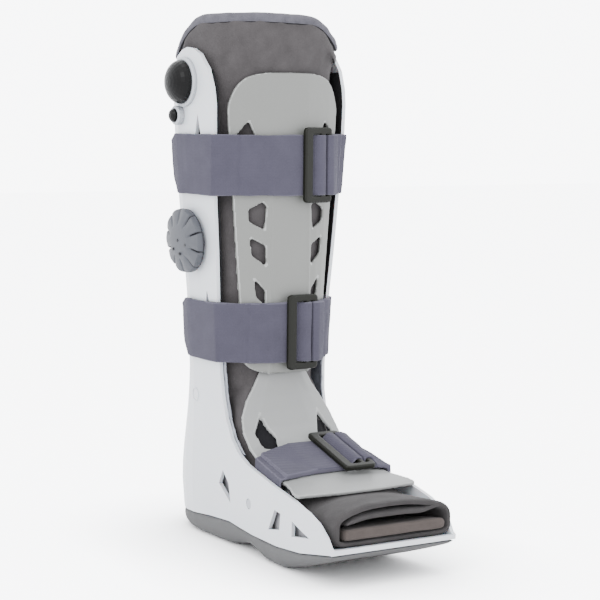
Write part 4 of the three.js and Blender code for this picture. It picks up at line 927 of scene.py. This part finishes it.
def ankle_ring():
    wall = bvhtree.BVHTree.FromObject(NODES["shell"], bpy.context.evaluated_depsgraph_get())
    verts = []
    for i in range(RING_STEPS):
        a = 2 * math.pi * i / RING_STEPS
        for k in range(RING_SIDES):
            b = 2 * math.pi * k / RING_SIDES
            r = RING_RADIUS + RING_WIRE * math.cos(b)
            start = RING_START + Vector((0, r * math.cos(a), r * math.sin(a)))
            hit = wall.ray_cast(start, Vector((1, 0, 0)))[0]
            verts.append((hit.x - RING_WIRE * math.sin(b), start.y, start.z))
    return built("ankle_ring", verts, ring_faces(RING_STEPS, RING_SIDES, closed=True))


ring_mesh = ankle_ring()
painted(ring_mesh, SHELL)
ring = link_mesh("ankle_ring", ring_mesh)
smooth(ring, RING_ANGLE)

# Floor and sky. The camera sees both brighter than they light the boot, save for the contact shadow.
FLOOR_REACH = 6
WHITE = (0.97, 0.98, 1.0, 1)
PAPER_GLOW = 4.5
SHADOW_REACH = 0.12
SHADOW_POWER = 3.0
SHADOW_SAMPLES = 12
SKY_LIGHT = 3.6
SKY_GLOW = 4.8


def camera_ray(tree):
    """1 where the camera looks straight at the surface, else 0."""
    return tree.nodes.new("ShaderNodeLightPath").outputs["Is Camera Ray"]


def floor_paper():
    paper = look("floor_paper", (0.93, 0.93, 0.935), 0.9, 0.005, 2, 0.01, 300)
    tree = paper.node_tree
    near = tree.nodes.new("ShaderNodeAmbientOcclusion")
    near.inputs["Distance"].default_value = SHADOW_REACH
    near.samples = SHADOW_SAMPLES
    shade = compute(tree, "POWER", near.outputs["AO"], SHADOW_POWER)
    glow = compute(tree, "MULTIPLY", compute(tree, "MULTIPLY", shade, camera_ray(tree)), PAPER_GLOW)
    shader = tree.nodes["Principled BSDF"]
    shader.inputs["Emission Color"].default_value = WHITE
    tree.links.new(glow, shader.inputs["Emission Strength"])
    return paper


corners = [(x * FLOOR_REACH, y * FLOOR_REACH, 0) for x, y in ((-1, -1), (1, -1), (1, 1), (-1, 1))]
floor_mesh = bpy.data.meshes.new("floor")
floor_mesh.from_pydata(corners, [], [(0, 1, 2, 3)])
painted(floor_mesh, floor_paper())
floor = add_object("floor", floor_mesh)

world = bpy.data.worlds.new("studio")
bpy.context.scene.world = world
world.use_nodes = True
sky = world.node_tree
sky_light = compute(sky, "MULTIPLY_ADD", camera_ray(sky), SKY_GLOW, SKY_LIGHT)
sky.nodes["Background"].inputs["Color"].default_value = WHITE
sky.links.new(sky_light, sky.nodes["Background"].inputs["Strength"])


def area_lamp(name, at, aim, size, power):
    lamp = bpy.data.lights.new(name, "AREA")
    lamp.size = size
    lamp.energy = power
    ob = add_object(name, lamp)
    ob.location = at
    ob.rotation_euler = (Vector(aim) - Vector(at)).to_track_quat("-Z", "Y").to_euler()


# Columns: name, place, aim, size, power
for row in (("key", (-1.6, -0.9, 1.5), (0, 0, 0.2), 1.2, 22),
            ("top", (0.2, -0.2, 2.2), (0, 0, 0.1), 1.5, 14),
            ("side", (1.6, -1.2, 0.8), (0, 0, 0.2), 1.0, 5)):
    area_lamp(*row)
